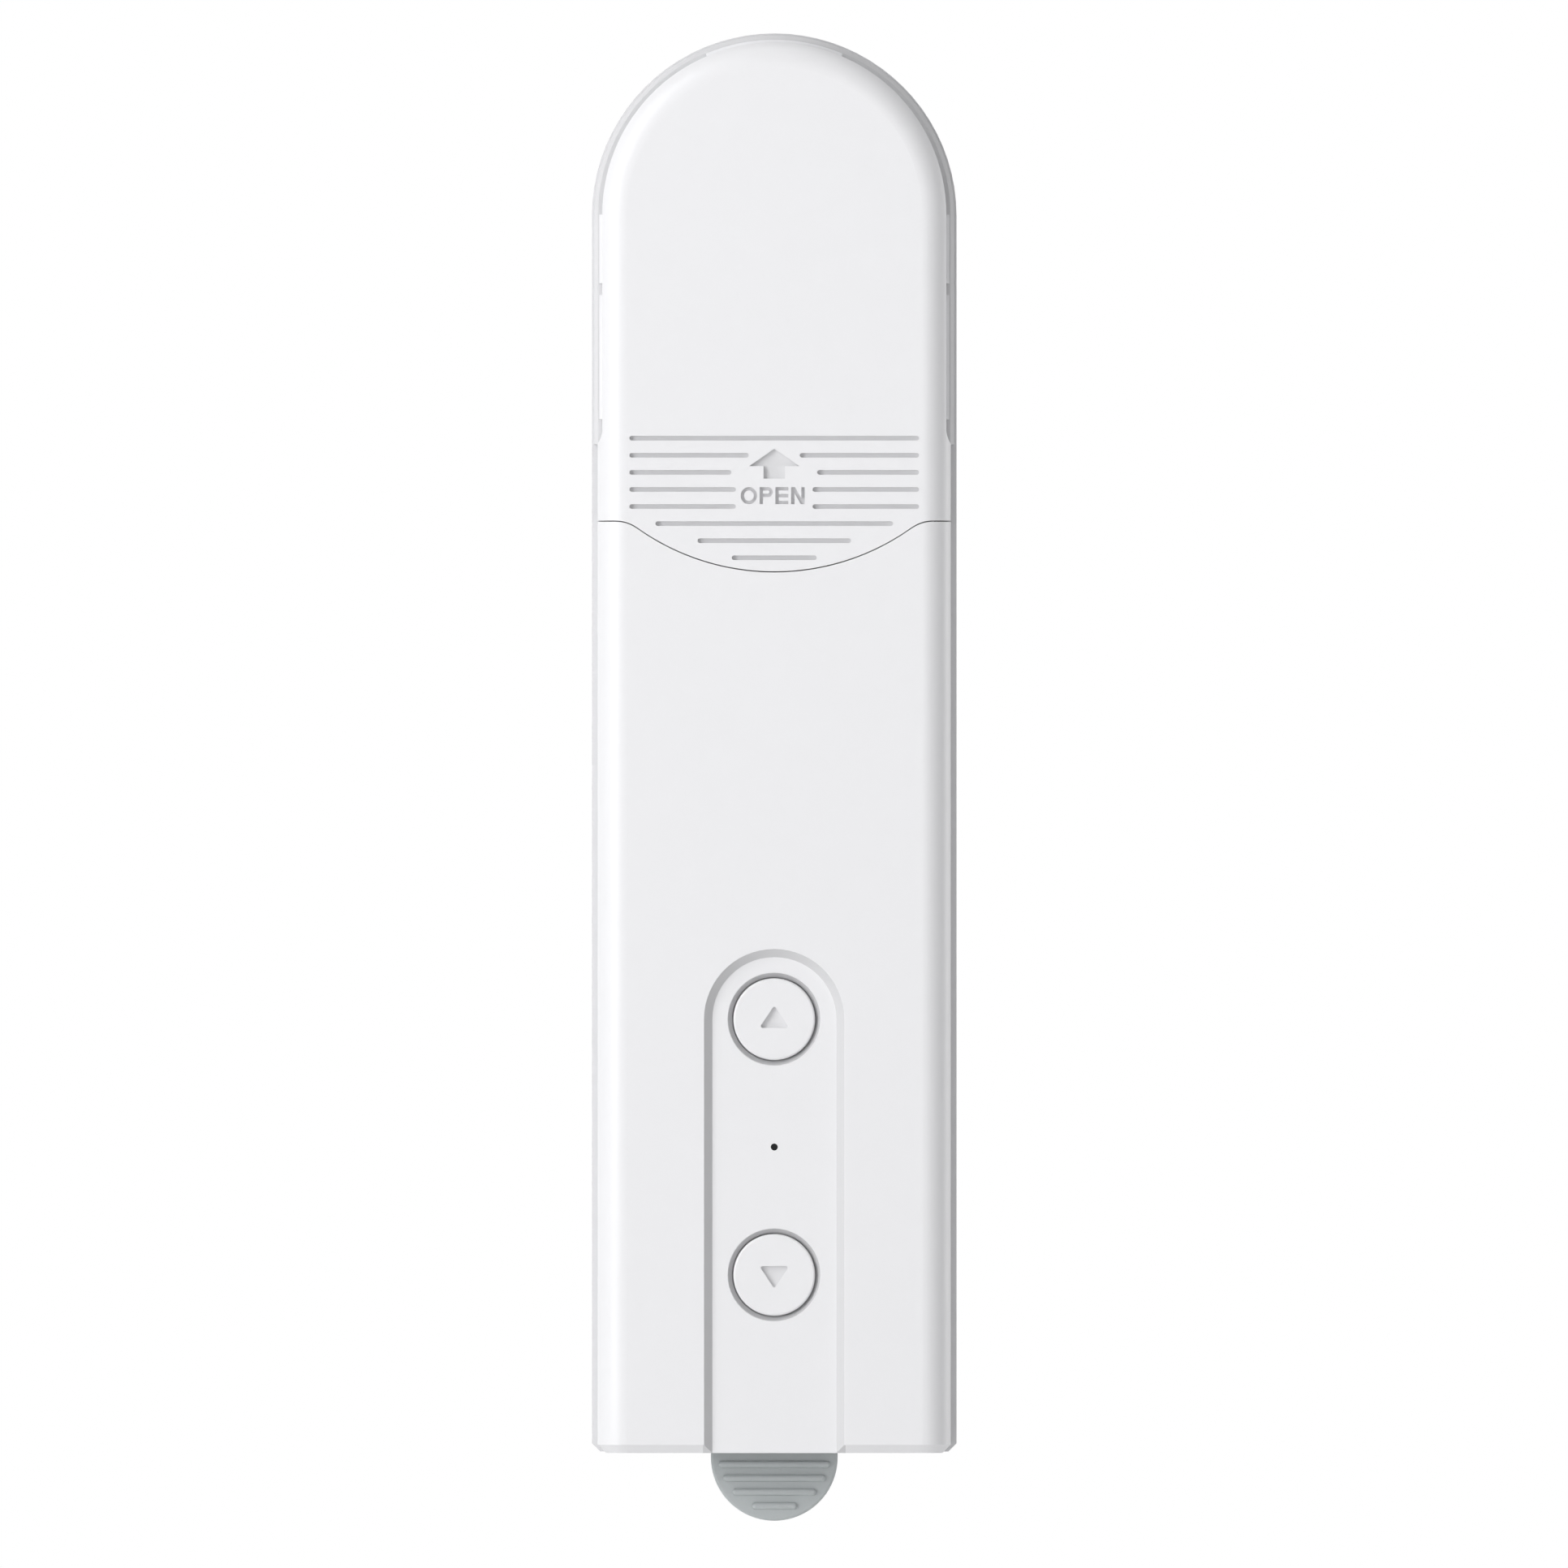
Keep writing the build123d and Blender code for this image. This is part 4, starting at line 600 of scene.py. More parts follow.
def turned(bm, profile, centre, axis="Y", steps=40, closed=False):
    """A turned shape, from a profile of (radius, place along the axis) pairs."""
    along, out = AXES[axis]
    middle = Vector(centre)
    middle -= along * middle.dot(along)
    verts = [bm.verts.new((middle + out * radius + along * place) * MM) for radius, place in profile]
    pairs = list(zip(verts, verts[1:]))
    if closed:
        pairs.append((verts[-1], verts[0]))
    edges = [bm.edges.new(pair) for pair in pairs]
    bmesh.ops.spin(bm, geom=verts + edges, cent=middle * MM, axis=along, angle=2 * pi, steps=steps,
                   use_merge=True)


def pin(bm, radius, centre, low, high, axis="Y", chamfer=0.1, steps=24):
    """A round pin with chamfered ends."""
    turned(bm, ((0, low), (radius - chamfer, low), (radius, low + chamfer), (radius, high - chamfer),
                (radius - chamfer, high), (0, high)), centre, axis, steps)


def coil(bm, centre, radius, wire, low, high, turns, steps=28):
    """A coil of wire along Y, with closed ends."""
    start = Vector(centre) + Vector((radius, 0, 0))
    start.y = low + wire / 2
    turn = Matrix.Translation(start * MM)
    made = bmesh.ops.create_circle(bm, cap_ends=False, segments=10, radius=wire / 2 * MM, matrix=turn)
    ring = made["verts"]
    edges = list({link for vert in ring for link in vert.link_edges})
    rise = (high - low - wire) / (turns * steps)
    bmesh.ops.spin(bm, geom=ring + edges, cent=Vector(centre) * MM, axis=(0, 1, 0),
                   dvec=(0, rise * MM, 0), angle=2 * pi * turns, steps=turns * steps)
    bmesh.ops.holes_fill(bm, edges=[link for link in bm.edges if link.is_boundary], sides=0)


def holed_plate(bm, x, y, z, half, hole):
    """A square plate that faces along Y, with a round hole."""
    turn = Matrix.Translation(Vector((x, y[0], z)) * MM) @ Matrix.Rotation(radians(90), 4, "X")
    square = bmesh.ops.create_grid(bm, x_segments=4, y_segments=4, size=half * MM, matrix=turn)["verts"]
    inner = [vert for vert in square if not vert.is_boundary]
    bmesh.ops.delete(bm, geom=inner, context="VERTS")
    rim = [vert for vert in square if vert.is_valid]
    ring = bmesh.ops.create_circle(bm, cap_ends=False, segments=16, radius=hole * MM,
                                   matrix=turn)["verts"]
    loops = {link for vert in rim + ring for link in vert.link_edges}
    sheet = bmesh.ops.bridge_loops(bm, edges=list(loops))["faces"]
    thick = bmesh.ops.extrude_face_region(bm, geom=sheet, use_keep_orig=True)["geom"]
    moved = [item for item in thick if isinstance(item, bmesh.types.BMVert)]
    bmesh.ops.translate(bm, vec=(0, (y[1] - y[0]) * MM, 0), verts=moved)


def piece(bm, name, body, finish, replaced=(), angle=35):
    """Turns a finished mesh into a piece that rides on a body and stands for CAD nodes."""
    bmesh.ops.remove_doubles(bm, verts=bm.verts, dist=1e-7)
    bmesh.ops.recalc_face_normals(bm, faces=bm.faces)
    mesh = bpy.data.meshes.new(name)
    bm.to_mesh(mesh)
    bm.free()
    mesh.shade_smooth()
    mesh.set_sharp_from_angle(angle=radians(angle))
    thing = bpy.data.objects.new(name, mesh)
    bpy.context.scene.collection.objects.link(thing)
    mesh.materials.append(MATERIALS[finish])
    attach(thing, body)
    if replaced:
        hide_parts(*replaced)
    return thing


# Small electrical parts. A heap holds one mesh for each finish. A spot on a board is its x, its z, the
# y of the board's face, which way along Y that face looks, and whether the part is turned a quarter.

def heap_mesh(heap, finish):
    """The mesh that gathers one finish's share of a group of parts."""
    return heap.setdefault(finish, bmesh.new())


def heap_block(heap, finish, x, y, z, edge):
    """A block in one finish's share of a group of parts."""
    block(heap_mesh(heap, finish), x, y, z, edge)


def set_down(heap, name, body, replaced=()):
    """Makes one piece for each finish that a heap holds."""
    for finish, bm in heap.items():
        piece(bm, f"{name}_{finish}", body, finish, replaced)


def fitted(heap, finish, spot, across, out, along, edge=0.05):
    """A block of a part on a board: across, out of the board and along, from the part's own spot."""
    x, z, board_y, facing, quarter = spot
    if quarter:
        across, along = along, across
    heap_block(heap, finish, [x + value for value in across],
               [board_y + facing * value for value in out], [z + value for value in along], edge)


def chip_part(heap, spot, finish, length=2.0, width=1.25, tall=RESISTOR_TALL):
    """A resistor or capacitor with its two plated ends."""
    cap = length * 0.2
    fitted(heap, finish, spot, (cap - length / 2, length / 2 - cap), (0.04, tall - 0.03),
           (-width / 2 + 0.03, width / 2 - 0.03), 0.04)
    for side in (-1, 1):
        fitted(heap, "steel", spot, (side * (length / 2 - cap), side * length / 2), (0.0, tall),
               (-width / 2, width / 2), 0.06)
        fitted(heap, "steel", spot, (side * length / 2, side * (length / 2 + 0.4)), (0.0, 0.14),
               (-width / 2, width / 2), 0.06)


def legged_chip(heap, spot, half, tall, legs, sides=("across",), reach=1.0, leg=0.35):
    """A moulded chip with gull legs on two or four sides and a dimple at its first leg."""
    fitted(heap, "black_plastic", spot, (-half[0], half[0]), (0.15, tall), (-half[1], half[1]), 0.12)
    x, z, board_y, facing, _ = spot
    dimple = (x - half[0] * 0.66, 0, z + half[1] * 0.66)
    face = board_y + facing * tall
    ring = ((0.18, face - facing * 0.05), (0.36, face - facing * 0.05), (0.36, face + facing * 0.02),
            (0.30, face + facing * 0.03), (0.18, face + facing * 0.02))
    turned(heap_mesh(heap, "black_plastic"), ring, dimple, "Y", 16, closed=True)
    knee = tall * 0.42
    for direction in sides:
        body_half, row_half = half if direction == "across" else half[::-1]
        pitch = 2 * row_half / legs
        for side in (-1, 1):
            for number in range(legs):
                middle = (number + 0.5) * pitch - row_half
                runs = (((body_half - 0.1, body_half + reach * 0.45), (knee, knee + 0.16)),
                        ((body_half + reach * 0.30, body_half + reach * 0.5), (0.02, knee + 0.14)),
                        ((body_half + reach * 0.35, body_half + reach), (0.0, 0.16)))
                for run, out in runs:
                    pairs = [side * value for value in run], (middle - leg / 2, middle + leg / 2)
                    across, along = pairs if direction == "across" else pairs[::-1]
                    fitted(heap, "steel", spot, across, out, along, 0.03)


def can_capacitor(heap, x, z, board_y, facing, radius=2.3, tall=3.6):
    """An electrolytic capacitor on its square base, with the rolled groove near its foot."""
    spot = (x, z, board_y, facing, False)
    fitted(heap, "black_plastic", spot, (-radius - 0.1, radius + 0.1), (0.0, 0.6),
           (-radius - 0.1, radius + 0.1), 0.15)
    steps = ((0, 0.5), (radius, 0.5), (radius, 1.0), (radius - 0.25, 1.25), (radius, 1.5),
             (radius, tall - 0.25), (radius - 0.25, tall), (radius - 0.6, tall - 0.06),
             (0, tall - 0.06))
    turned(heap_mesh(heap, "steel"), [(r, board_y + facing * out) for r, out in steps], (x, 0, z))


def power_coil(heap, spot, half=2.0, tall=2.0):
    """A power inductor: a dark ferrite block with the winding showing round its waist."""
    fitted(heap, "magnet", spot, (-half, half), (0.0, 0.5), (-half, half), 0.2)
    fitted(heap, "magnet", spot, (-half, half), (tall - 0.5, tall), (-half, half), 0.2)
    x, z, board_y, facing, _ = spot
    for number in range(4):
        level = board_y + facing * (0.62 + number * 0.25)
        ring = [(half * 0.82 + 0.12 * cos(angle), level + 0.12 * sin(angle))
                for angle in (radians(step * 60) for step in range(6))]
        turned(heap_mesh(heap, "copper"), ring, (x, 0, z), "Y", 28, closed=True)
    foot, head = board_y + facing * 0.4, board_y + facing * (tall - 0.4)
    core = ((0, foot), (half * 0.75, foot), (half * 0.75, head), (0, head))
    turned(heap_mesh(heap, "magnet"), core, (x, 0, z))


def hole_pads(heap, places, board_y, facing, hole, outer):
    """The plated rings round the holes of a board."""
    under, rim, face = (board_y + facing * out for out in (-0.05, 0.05, 0.08))
    ring = ((hole, under), (outer, under), (outer, rim), (outer - 0.06, face), (hole, face))
    for x, z in places:
        turned(heap_mesh(heap, "gold"), ring, (x, 0, z), "Y", 28, closed=True)


def lead_plug(heap, node, lead_x, facing, spine):
    """A lead socket with its plug: walls, latch windows, plug ribs and solder legs."""
    (x0, x1), (y0, y1), (z0, z1) = box_mm(node)
    board_y, top_y = (y1, y0) if facing < 0 else (y0, y1)
    wall, gap = 0.55, 0.1
    shell = [((x0, x0 + wall), (y0, y1), (z0, z1)),
             ((x1 - wall, x1), (y0, y1), (z0, z1)),
             ((x0, x1), (y0, y1), (z0, z0 + 0.8)),
             ((x0, x1), (board_y, board_y + facing * wall), (z0, z1))]
    for x in (x0 * 0.62, x1 * 0.62):
        shell.append(((x - 0.7, x + 0.7), (top_y - facing * wall, top_y), (z0, z1 - 0.4)))
    for places in shell:
        heap_block(heap, "socket_plastic", *places, 0.08)
    plug = (board_y + facing * (wall + gap), top_y - facing * 0.15)
    heap_block(heap, "insulator", (x0 + wall + gap, x1 - wall - gap), plug, (z0 + 0.9, z1), 0.12)
    collar = ((0.62, z1 - 0.5), (0.95, z1 - 0.5), (0.95, z1 + 0.12), (0.85, z1 + 0.22),
              (0.62, z1 + 0.22))
    for x in lead_x:
        heap_block(heap, "insulator", (x - 0.75, x + 0.75), (plug[1] - facing * 0.3, top_y),
                   (z0 + 1.4, z1 - 0.2), 0.1)
        heap_block(heap, "gold", (x - 0.3, x + 0.3), (plug[1], plug[1] + facing * 0.12),
                   (z0 + 2.2, z1 - 2.6), 0.04)
        heap_block(heap, "steel", (x - 0.3, x + 0.3), (board_y, board_y + facing * 0.25),
                   (z0 - 1.2, z0 + 0.2), 0.06)
        turned(heap_mesh(heap, "insulator"), collar, (x, spine, 0), "Z", 20, closed=True)


# Stage

def lamp(name, direction, size, level, centre):
    """A square lamp that faces the object. A white card facing it renders at its level."""
    data = bpy.data.lights.new(name, "AREA")
    data.size = size
    data.energy = level * (pi * LAMP_DISTANCE) ** 2
    thing = bpy.data.objects.new(name, data)
    bpy.context.scene.collection.objects.link(thing)
    toward = Vector(direction).normalized()
    thing.location = centre + toward * LAMP_DISTANCE
    thing.rotation_euler = toward.to_track_quat("Z", "Y").to_euler()


def make_world(level):
    """A white backdrop for the camera and for mirrored rays, and an even room light for the rest."""
    world = bpy.data.worlds.new("studio")
    world.use_nodes = True
    tree = world.node_tree
    tree.nodes.clear()
    out = tree.nodes.new("ShaderNodeOutputWorld")
    room = add_node(tree, "ShaderNodeBackground", Color=(1, 1, 1, 1), Strength=level)
    white = add_node(tree, "ShaderNodeBackground", Color=(1, 1, 1, 1), Strength=1.0)
    rays = tree.nodes.new("ShaderNodeLightPath")
    seen = math_node(tree, "MAXIMUM", rays.outputs["Is Camera Ray"], rays.outputs["Is Glossy Ray"])
    seen = math_node(tree, "MAXIMUM", seen, rays.outputs["Is Transmission Ray"])
    mix = tree.nodes.new("ShaderNodeMixShader")
    tree.links.new(seen, mix.inputs[0])
    tree.links.new(room.outputs[0], mix.inputs[1])
    tree.links.new(white.outputs[0], mix.inputs[2])
    tree.links.new(mix.outputs[0], out.inputs["Surface"])
    bpy.context.scene.world = world


def make_floor(height):
    """A pale floor under the object, which hides nothing from below."""
    mesh = bpy.data.meshes.new("floor")
    bm = bmesh.new()
    bmesh.ops.create_grid(bm, x_segments=1, y_segments=1, size=FLOOR_HALF,
                          matrix=Matrix.Translation((0, 0, height)))
    bm.to_mesh(mesh)
    bm.free()
    floor = bpy.data.objects.new("floor", mesh)
    bpy.context.scene.collection.objects.link(floor)
    material, tree, shader = new_material("floor_pale")
    shader.inputs["Base Color"].default_value = (0.9, 0.9, 0.9, 1)
    shader.inputs["Roughness"].default_value = 0.8
    shader.inputs["Emission Color"].default_value = (1, 1, 1, 1)
    rays = tree.nodes.new("ShaderNodeLightPath")
    lift = math_node(tree, "MULTIPLY", rays.outputs["Is Camera Ray"], FLOOR_LIFT)
    tree.links.new(lift, shader.inputs["Emission Strength"])
    under = tree.nodes.new("ShaderNodeNewGeometry").outputs["Backfacing"]
    blend = tree.nodes.new("ShaderNodeMixShader")
    tree.links.new(under, blend.inputs[0])
    tree.links.new(shader.outputs[0], blend.inputs[1])
    tree.links.new(tree.nodes.new("ShaderNodeBsdfTransparent").outputs[0], blend.inputs[2])
    tree.links.new(blend.outputs[0], tree.nodes["Material Output"].inputs["Surface"])
    mesh.materials.append(material)


# Operators

class MOTOR_OT_finishes(bpy.types.Operator):
    """Makes every material and gives the carried-over nodes theirs"""
    bl_idname = "motor.finishes"
    bl_label = "Finishes"

    def execute(self, context):
        MATERIALS.update(make_materials(context.scene.motor_finish))
        for node in NODES:
            finish_node(node)
        return {"FINISHED"}


class MOTOR_OT_wall_pads(bpy.types.Operator):
    """Foam pads in the bracket's back"""
    bl_idname = "motor.wall_pads"
    bl_label = "Wall pads"

    def execute(self, context):
        for level in ("upper", "lower"):
            x, y, z = box_mm(f"adhesive_pad_{level}")
            bm = bmesh.new()
            block(bm, x, y, z, 0.15, context.scene.motor_pieces.pad_corner / MM)
            piece(bm, f"foam_pad_{level}", "bracket", "foam_tape", [f"adhesive_pad_{level}"])
        return {"FINISHED"}


class MOTOR_OT_tab_parts(bpy.types.Operator):
    """The coil spring and the pivot pin of the release tab"""
    bl_idname = "motor.tab_parts"
    bl_label = "Tab spring and pin"

    def execute(self, context):
        x, y, z = box_mm("tab_spring")
        sizes = context.scene.motor_pieces
        wire = sizes.spring_wire / MM
        middle = ((x[0] + x[1]) / 2, 0, (z[0] + z[1]) / 2)
        bm = bmesh.new()
        coil(bm, middle, (x[1] - x[0] - wire) / 2, wire, y[0], y[1], sizes.spring_turns)
        spring = piece(bm, "arm_spring", "driver", "steel", ["tab_spring"], angle=60)
        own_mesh(spring)
        x, y, z = box_mm("tab_pin")
        bm = bmesh.new()
        pin(bm, (y[1] - y[0]) / 2, (0, sum(y) / 2, sum(z) / 2), x[0], x[1], "X", 0.15)
        piece(bm, "pivot_pin", "driver", "steel", ["tab_pin"])
        return {"FINISHED"}


class MOTOR_OT_switches(bpy.types.Operator):
    """The two tact switches and the plungers under the buttons"""
    bl_idname = "motor.switches"
    bl_label = "Switches"

    def execute(self, context):
        for which in ("up", "down"):
            x, (front, board), z = box_mm(f"{which}_switch")
            middle_z = sum(z) / 2
            half = (x[1] - x[0]) / 2
            heap = {}
            base = heap_mesh(heap, "black_plastic")
            holed_plate(base, 0, (board, front + 0.25), middle_z, half - 0.05, 1.15)
            for side in (-1, 1):
                for rise in (-1, 1):
                    rivet = (side * (half - 0.75), 0, middle_z + rise * (half - 0.75))
                    pin(base, 0.42, rivet, front, front + 1, chamfer=0.12, steps=14)
            cover = heap_mesh(heap, "steel")
            holed_plate(cover, 0, (front + 0.25, front + 0.08), middle_z, half, 1.15)
            leg = ((-0.1, 0.35, board - 1.0, board - 0.8), (0.2, 0.4, board - 1.0, board),
                   (0.2, 1.3, board - 0.2, board))
            for side in (-1, 1):
                block(cover, (-1.1, 1.1), (front + 0.1, front + 1.9),
                      (middle_z + side * (half - 0.02), middle_z + side * (half + 0.14)), 0.04)
                for rise in (-1, 1):
                    leg_z = middle_z + rise * (half - 0.75)
                    for near, far, high_y, low_y in leg:
                        block(cover, (side * (half + near), side * (half + far)), (high_y, low_y),
                              (leg_z - 0.35, leg_z + 0.35), 0.05)
            set_down(heap, f"{which}_contact", "driver", [f"{which}_switch"])
            x, y, z = box_mm(f"{which}_plunger")
            radius = (x[1] - x[0]) / 2
            bm = bmesh.new()
            turned(bm, ((0, y[0]), (radius - 0.35, y[0]), (radius - 0.12, y[0] + 0.08),
                        (radius - 0.04, y[0] + 0.3), (radius - 0.04, y[1] - 0.35), (radius, y[1] - 0.3),
                        (radius, y[1] - 0.06), (radius - 0.06, y[1]), (0, y[1])),
                   (0, 0, middle_z), "Y", 28)
            piece(bm, f"{which}_stem", f"{which}_key", "black_plastic", [f"{which}_plunger"])
        return {"FINISHED"}


class MOTOR_OT_status_light(bpy.types.Operator):
    """The status light under its pipe"""
    bl_idname = "motor.status_light"
    bl_label = "Status light"

    def execute(self, context):
        x, (front, board), z = box_mm("status_led")
        heap = {}
        spot = (0, sum(z) / 2, board, -1, False)
        fitted(heap, "insulator", spot, (x[0] + 0.25, x[1] - 0.25), (0.0, 0.35), (-0.45, 0.45), 0.04)
        fitted(heap, "led_resin", spot, (x[0] + 0.3, x[1] - 0.3), (0.3, board - front),
               (-0.42, 0.42), 0.12)
        for side in (-1, 1):
            fitted(heap, "gold", spot, (side * 0.5, side * 0.8), (0.0, 0.3), (-0.5, 0.5), 0.05)
        set_down(heap, "light", "driver", ["status_led"])
        return {"FINISHED"}


class MOTOR_OT_main_board_parts(bpy.types.Operator):
    """Chips, sockets and small parts on both sides of the main board"""
    bl_idname = "motor.main_board_parts"
    bl_label = "Main board parts"

    def execute(self, context):
        front, rear = box_mm("main_board")[1]
        self.front_side(front)
        self.rear_side(rear)
        heap = {}
        lead_plug(heap, "motor_socket", (-MOTOR_LEAD_X, MOTOR_LEAD_X), -1, front - LEAD_OUT)
        set_down(heap, "motor_plug", "driver", ["motor_socket"])
        heap = {}
        lead_plug(heap, "battery_socket", (-BATTERY_LEAD_X, BATTERY_LEAD_X), 1, rear + LEAD_OUT)
        set_down(heap, "battery_plug", "driver", ["battery_socket"])
        return {"FINISHED"}

    def front_side(self, board_y):
        """Small parts down both sides, two chips, a coil and a capacitor."""
        heap = {}
        for side, rows in ((-1, (-65, -61.5, -56, -52, -49, -41, -37.5, -31)),
                           (1, (-61, -58, -53, -50, -45, -42, -36, -33, -30))):
            for number, z in enumerate(rows):
                finish = "ceramic" if number % 3 == 1 else "black_plastic"
                tall = CAPACITOR_TALL if finish == "ceramic" else RESISTOR_TALL
                chip_part(heap, (side * (7.2 + number % 2 * 4.2), z, board_y, -1, number % 4 == 1),
                          finish, tall=tall)
        for side in (-1, 1):
            legged_chip(heap, (side * 9.0, -25, board_y, -1, False), (1.95, 2.45), 1.5, 4)
            chip_part(heap, (side * 2.8, -45, board_y, -1, True), "black_plastic", 1.6, 0.8)
            chip_part(heap, (side * 6.4, -76, board_y, -1, True), "ceramic", tall=CAPACITOR_TALL)
        power_coil(heap, (7.6, -66, board_y, -1, False))
        can_capacitor(heap, -7.8, -70, board_y, -1)
        set_down(heap, "board_front", "driver")

    def rear_side(self, board_y):
        """The control chip, two smaller chips, small parts, a crystal, hole pads and the shield."""
        heap = {}
        chip_x, _, chip_z = box_mm("control_chip")
        spot = (sum(chip_x) / 2, sum(chip_z) / 2, board_y, 1, False)
        legged_chip(heap, spot, (2.6, 2.6), 1.0, 8, ("across", "along"), 0.9, 0.3)
        for number, z in enumerate((-34, -37.5, -54, -57, -60, -63, -66)):
            finish = "ceramic" if number % 3 == 1 else "black_plastic"
            chip_part(heap, (4.2 + number % 2 * 4.5, z, board_y, 1, number % 2 == 0), finish)
            chip_part(heap, (-12.6 + number % 3 * 3.6, z - 1.2 if z < -50 else z, board_y, 1,
                             number % 2 == 1), "ceramic" if number % 2 else "black_plastic")
        crystal = (11.9, -39.5, board_y, 1, True)
        fitted(heap, "steel", crystal, (-1.6, 1.6), (0.1, 0.9), (-1.25, 1.25), 0.18)
        legged_chip(heap, (8.6, -30, board_y, 1, False), (1.95, 2.45), 1.5, 4)
        legged_chip(heap, (-8.6, -30, board_y, 1, False), (1.5, 1.5), 1.1, 3, reach=0.7)
        hole_pads(heap, [(side * 12.5, level) for side in (-1, 1) for level in (-70, -19)], board_y, 1,
                  0.95, 1.7)
        set_down(heap, "board_rear", "driver", ["control_chip"])
        self.shield(board_y)

    def shield(self, board_y):
        """The pressed can over the radio, with its rows of vent dimples and its solder feet."""
        x, y, z = box_mm("radio_shield")
        bm = bmesh.new()
        block(bm, x, (board_y, y[1] - 0.2), z, 0.12, 0.8)
        block(bm, (x[0] + 0.15, x[1] - 0.15), (board_y + 0.4, y[1] - 0.06), (z[0] + 0.15, z[1] - 0.15),
              0.15, 0.8)
        turn = Matrix.Translation(Vector((sum(x) / 2, y[1] - 0.03, sum(z) / 2)) * MM)
        turn = turn @ Matrix.Rotation(radians(-90), 4, "X")
        lid = bmesh.ops.create_grid(bm, x_segments=7, y_segments=10, size=0.5)["verts"]
        bmesh.ops.scale(bm, vec=(8.8 * MM, 12.6 * MM, 1), verts=lid)
        bmesh.ops.transform(bm, matrix=turn, verts=lid)
        cells = list({link for vert in lid for link in vert.link_faces})
        bmesh.ops.inset_individual(bm, faces=cells, thickness=0.34 * MM, depth=-0.2 * MM,
                                   use_even_offset=True)
        for number in range(4):
            level = z[0] + 2.0 + number * (z[1] - z[0] - 4) / 3
            for side in x:
                block(bm, (side - 0.35, side + 0.35), (board_y, board_y + 0.3),
                      (level - 0.5, level + 0.5), 0.06)
        piece(bm, "radio_can", "driver", "steel", ["radio_shield"])


class MOTOR_OT_cells(bpy.types.Operator):
    """The battery cells with sleeve, end caps and welded strips"""
    bl_idname = "motor.cells"
    bl_label = "Battery cells"

    def execute(self, context):
        for side in ("left", "right"):
            x, y, (z0, z1) = box_mm(f"battery_cell_{side}")
            radius, centre = (x[1] - x[0]) / 2, (sum(x) / 2, sum(y) / 2, 0)
            heap = {}
            sleeve = ((6.6, z0), (8.6, z0), (9.0, z0 + 0.15), (radius, z0 + 0.6), (radius, z1 - 3.7),
                      (radius - 0.35, z1 - 3.35), (radius - 0.48, z1 - 3.0), (radius - 0.35, z1 - 2.65),
                      (radius, z1 - 2.3), (radius, z1 - 0.6), (9.0, z1 - 0.15), (8.6, z1), (6.5, z1),
                      (6.5, z1 - 0.5), (6.6, z0 + 0.5))
            turned(heap_mesh(heap, "cell_sleeve"), sleeve, centre, "Z", 72, closed=True)
            for low, high, inset in ((z0 + 0.04, z0 + 0.55, 6.65), (z1 - 0.5, z1 - 0.02, 3.3)):
                turned(heap_mesh(heap, "steel"), ((0, low), (inset, low), (inset, high), (0, high)),
                       centre, "Z", 48)
            ring = ((3.3, z1 - 0.5), (6.55, z1 - 0.5), (6.55, z1 - 0.12), (3.3, z1 - 0.12))
            turned(heap_mesh(heap, "insulator"), ring, centre, "Z", 48, closed=True)
            set_down(heap, f"cell_{side}", "driver", [f"battery_cell_{side}"])
        for level in ("upper", "lower"):
            x, y, z = box_mm(f"nickel_strip_{level}")
            bm = bmesh.new()
            block(bm, x, y, z, 0.05, 1.2, "Z")
            outer, out = (z[1], 1) if level == "upper" else (z[0], -1)
            for side in (-1, 1):
                for dx in (-2.6, -0.9, 0.9, 2.6):
                    for dy in (-1.4, 1.4):
                        spot = (side * CELL_X + dx, sum(y) / 2 + dy, 0)
                        crater = ((0.25, outer), (0.5, outer - out * 0.02), (0.42, outer + out * 0.06),
                                  (0.25, outer + out * 0.05))
                        turned(bm, crater, spot, "Z", 14, closed=True)
            piece(bm, f"weld_strip_{level}", "driver", "nickel", [f"nickel_strip_{level}"])
        return {"FINISHED"}


class MOTOR_OT_small_boards(bpy.types.Operator):
    """Parts on the cells' protection board and on the encoder board"""
    bl_idname = "motor.small_boards"
    bl_label = "Small boards"

    def execute(self, context):
        top = box_mm("protection_board")[2][1] - CELL_BLOCK_TALL
        heap = {}
        for side in (-1, 1):
            heap_block(heap, "black_plastic", (side * 4.3, side * 7.3), (-18.6, -15.6),
                       (top, top + 0.9), 0.1)
            for number in range(3):
                middle = -18.2 + number * 1.1
                for edge in (3.8, 7.3):
                    heap_block(heap, "steel", (side * edge, side * (edge + 0.5)),
                               (middle - 0.2, middle + 0.2), (top, top + 0.25), 0.04)
                heap_block(heap, "ceramic", (side * 9.0, side * 10.2), (middle - 4.6, middle - 3.9),
                           (top, top + 0.5), 0.05)
            heap_block(heap, "gold", (side * 8.4, side * 10.4), (-14.4, -10.4), (top, top + 0.08), 0.03)
            cone = ((0.0, top), (1.3, top), (0.9, top + 0.45), (0.0, top + 0.6))
            turned(heap_mesh(heap, "steel"), cone, (side * 3.5, -23.6, 0), "Z", 20)
        set_down(heap, "cell_board", "driver")
        heap = {}
        _, (front, _), z = box_mm("encoder_board")
        for side in (-1, 1):
            chip_part(heap, (side * 6.4, z[0] + 1.4, front, -1, False), "ceramic", 1.6, 0.8, 0.4)
            chip_part(heap, (side * 6.4, z[1] - 1.4, front, -1, False), "black_plastic", 1.6, 0.8, 0.35)
        set_down(heap, "encoder", "driver")
        return {"FINISHED"}


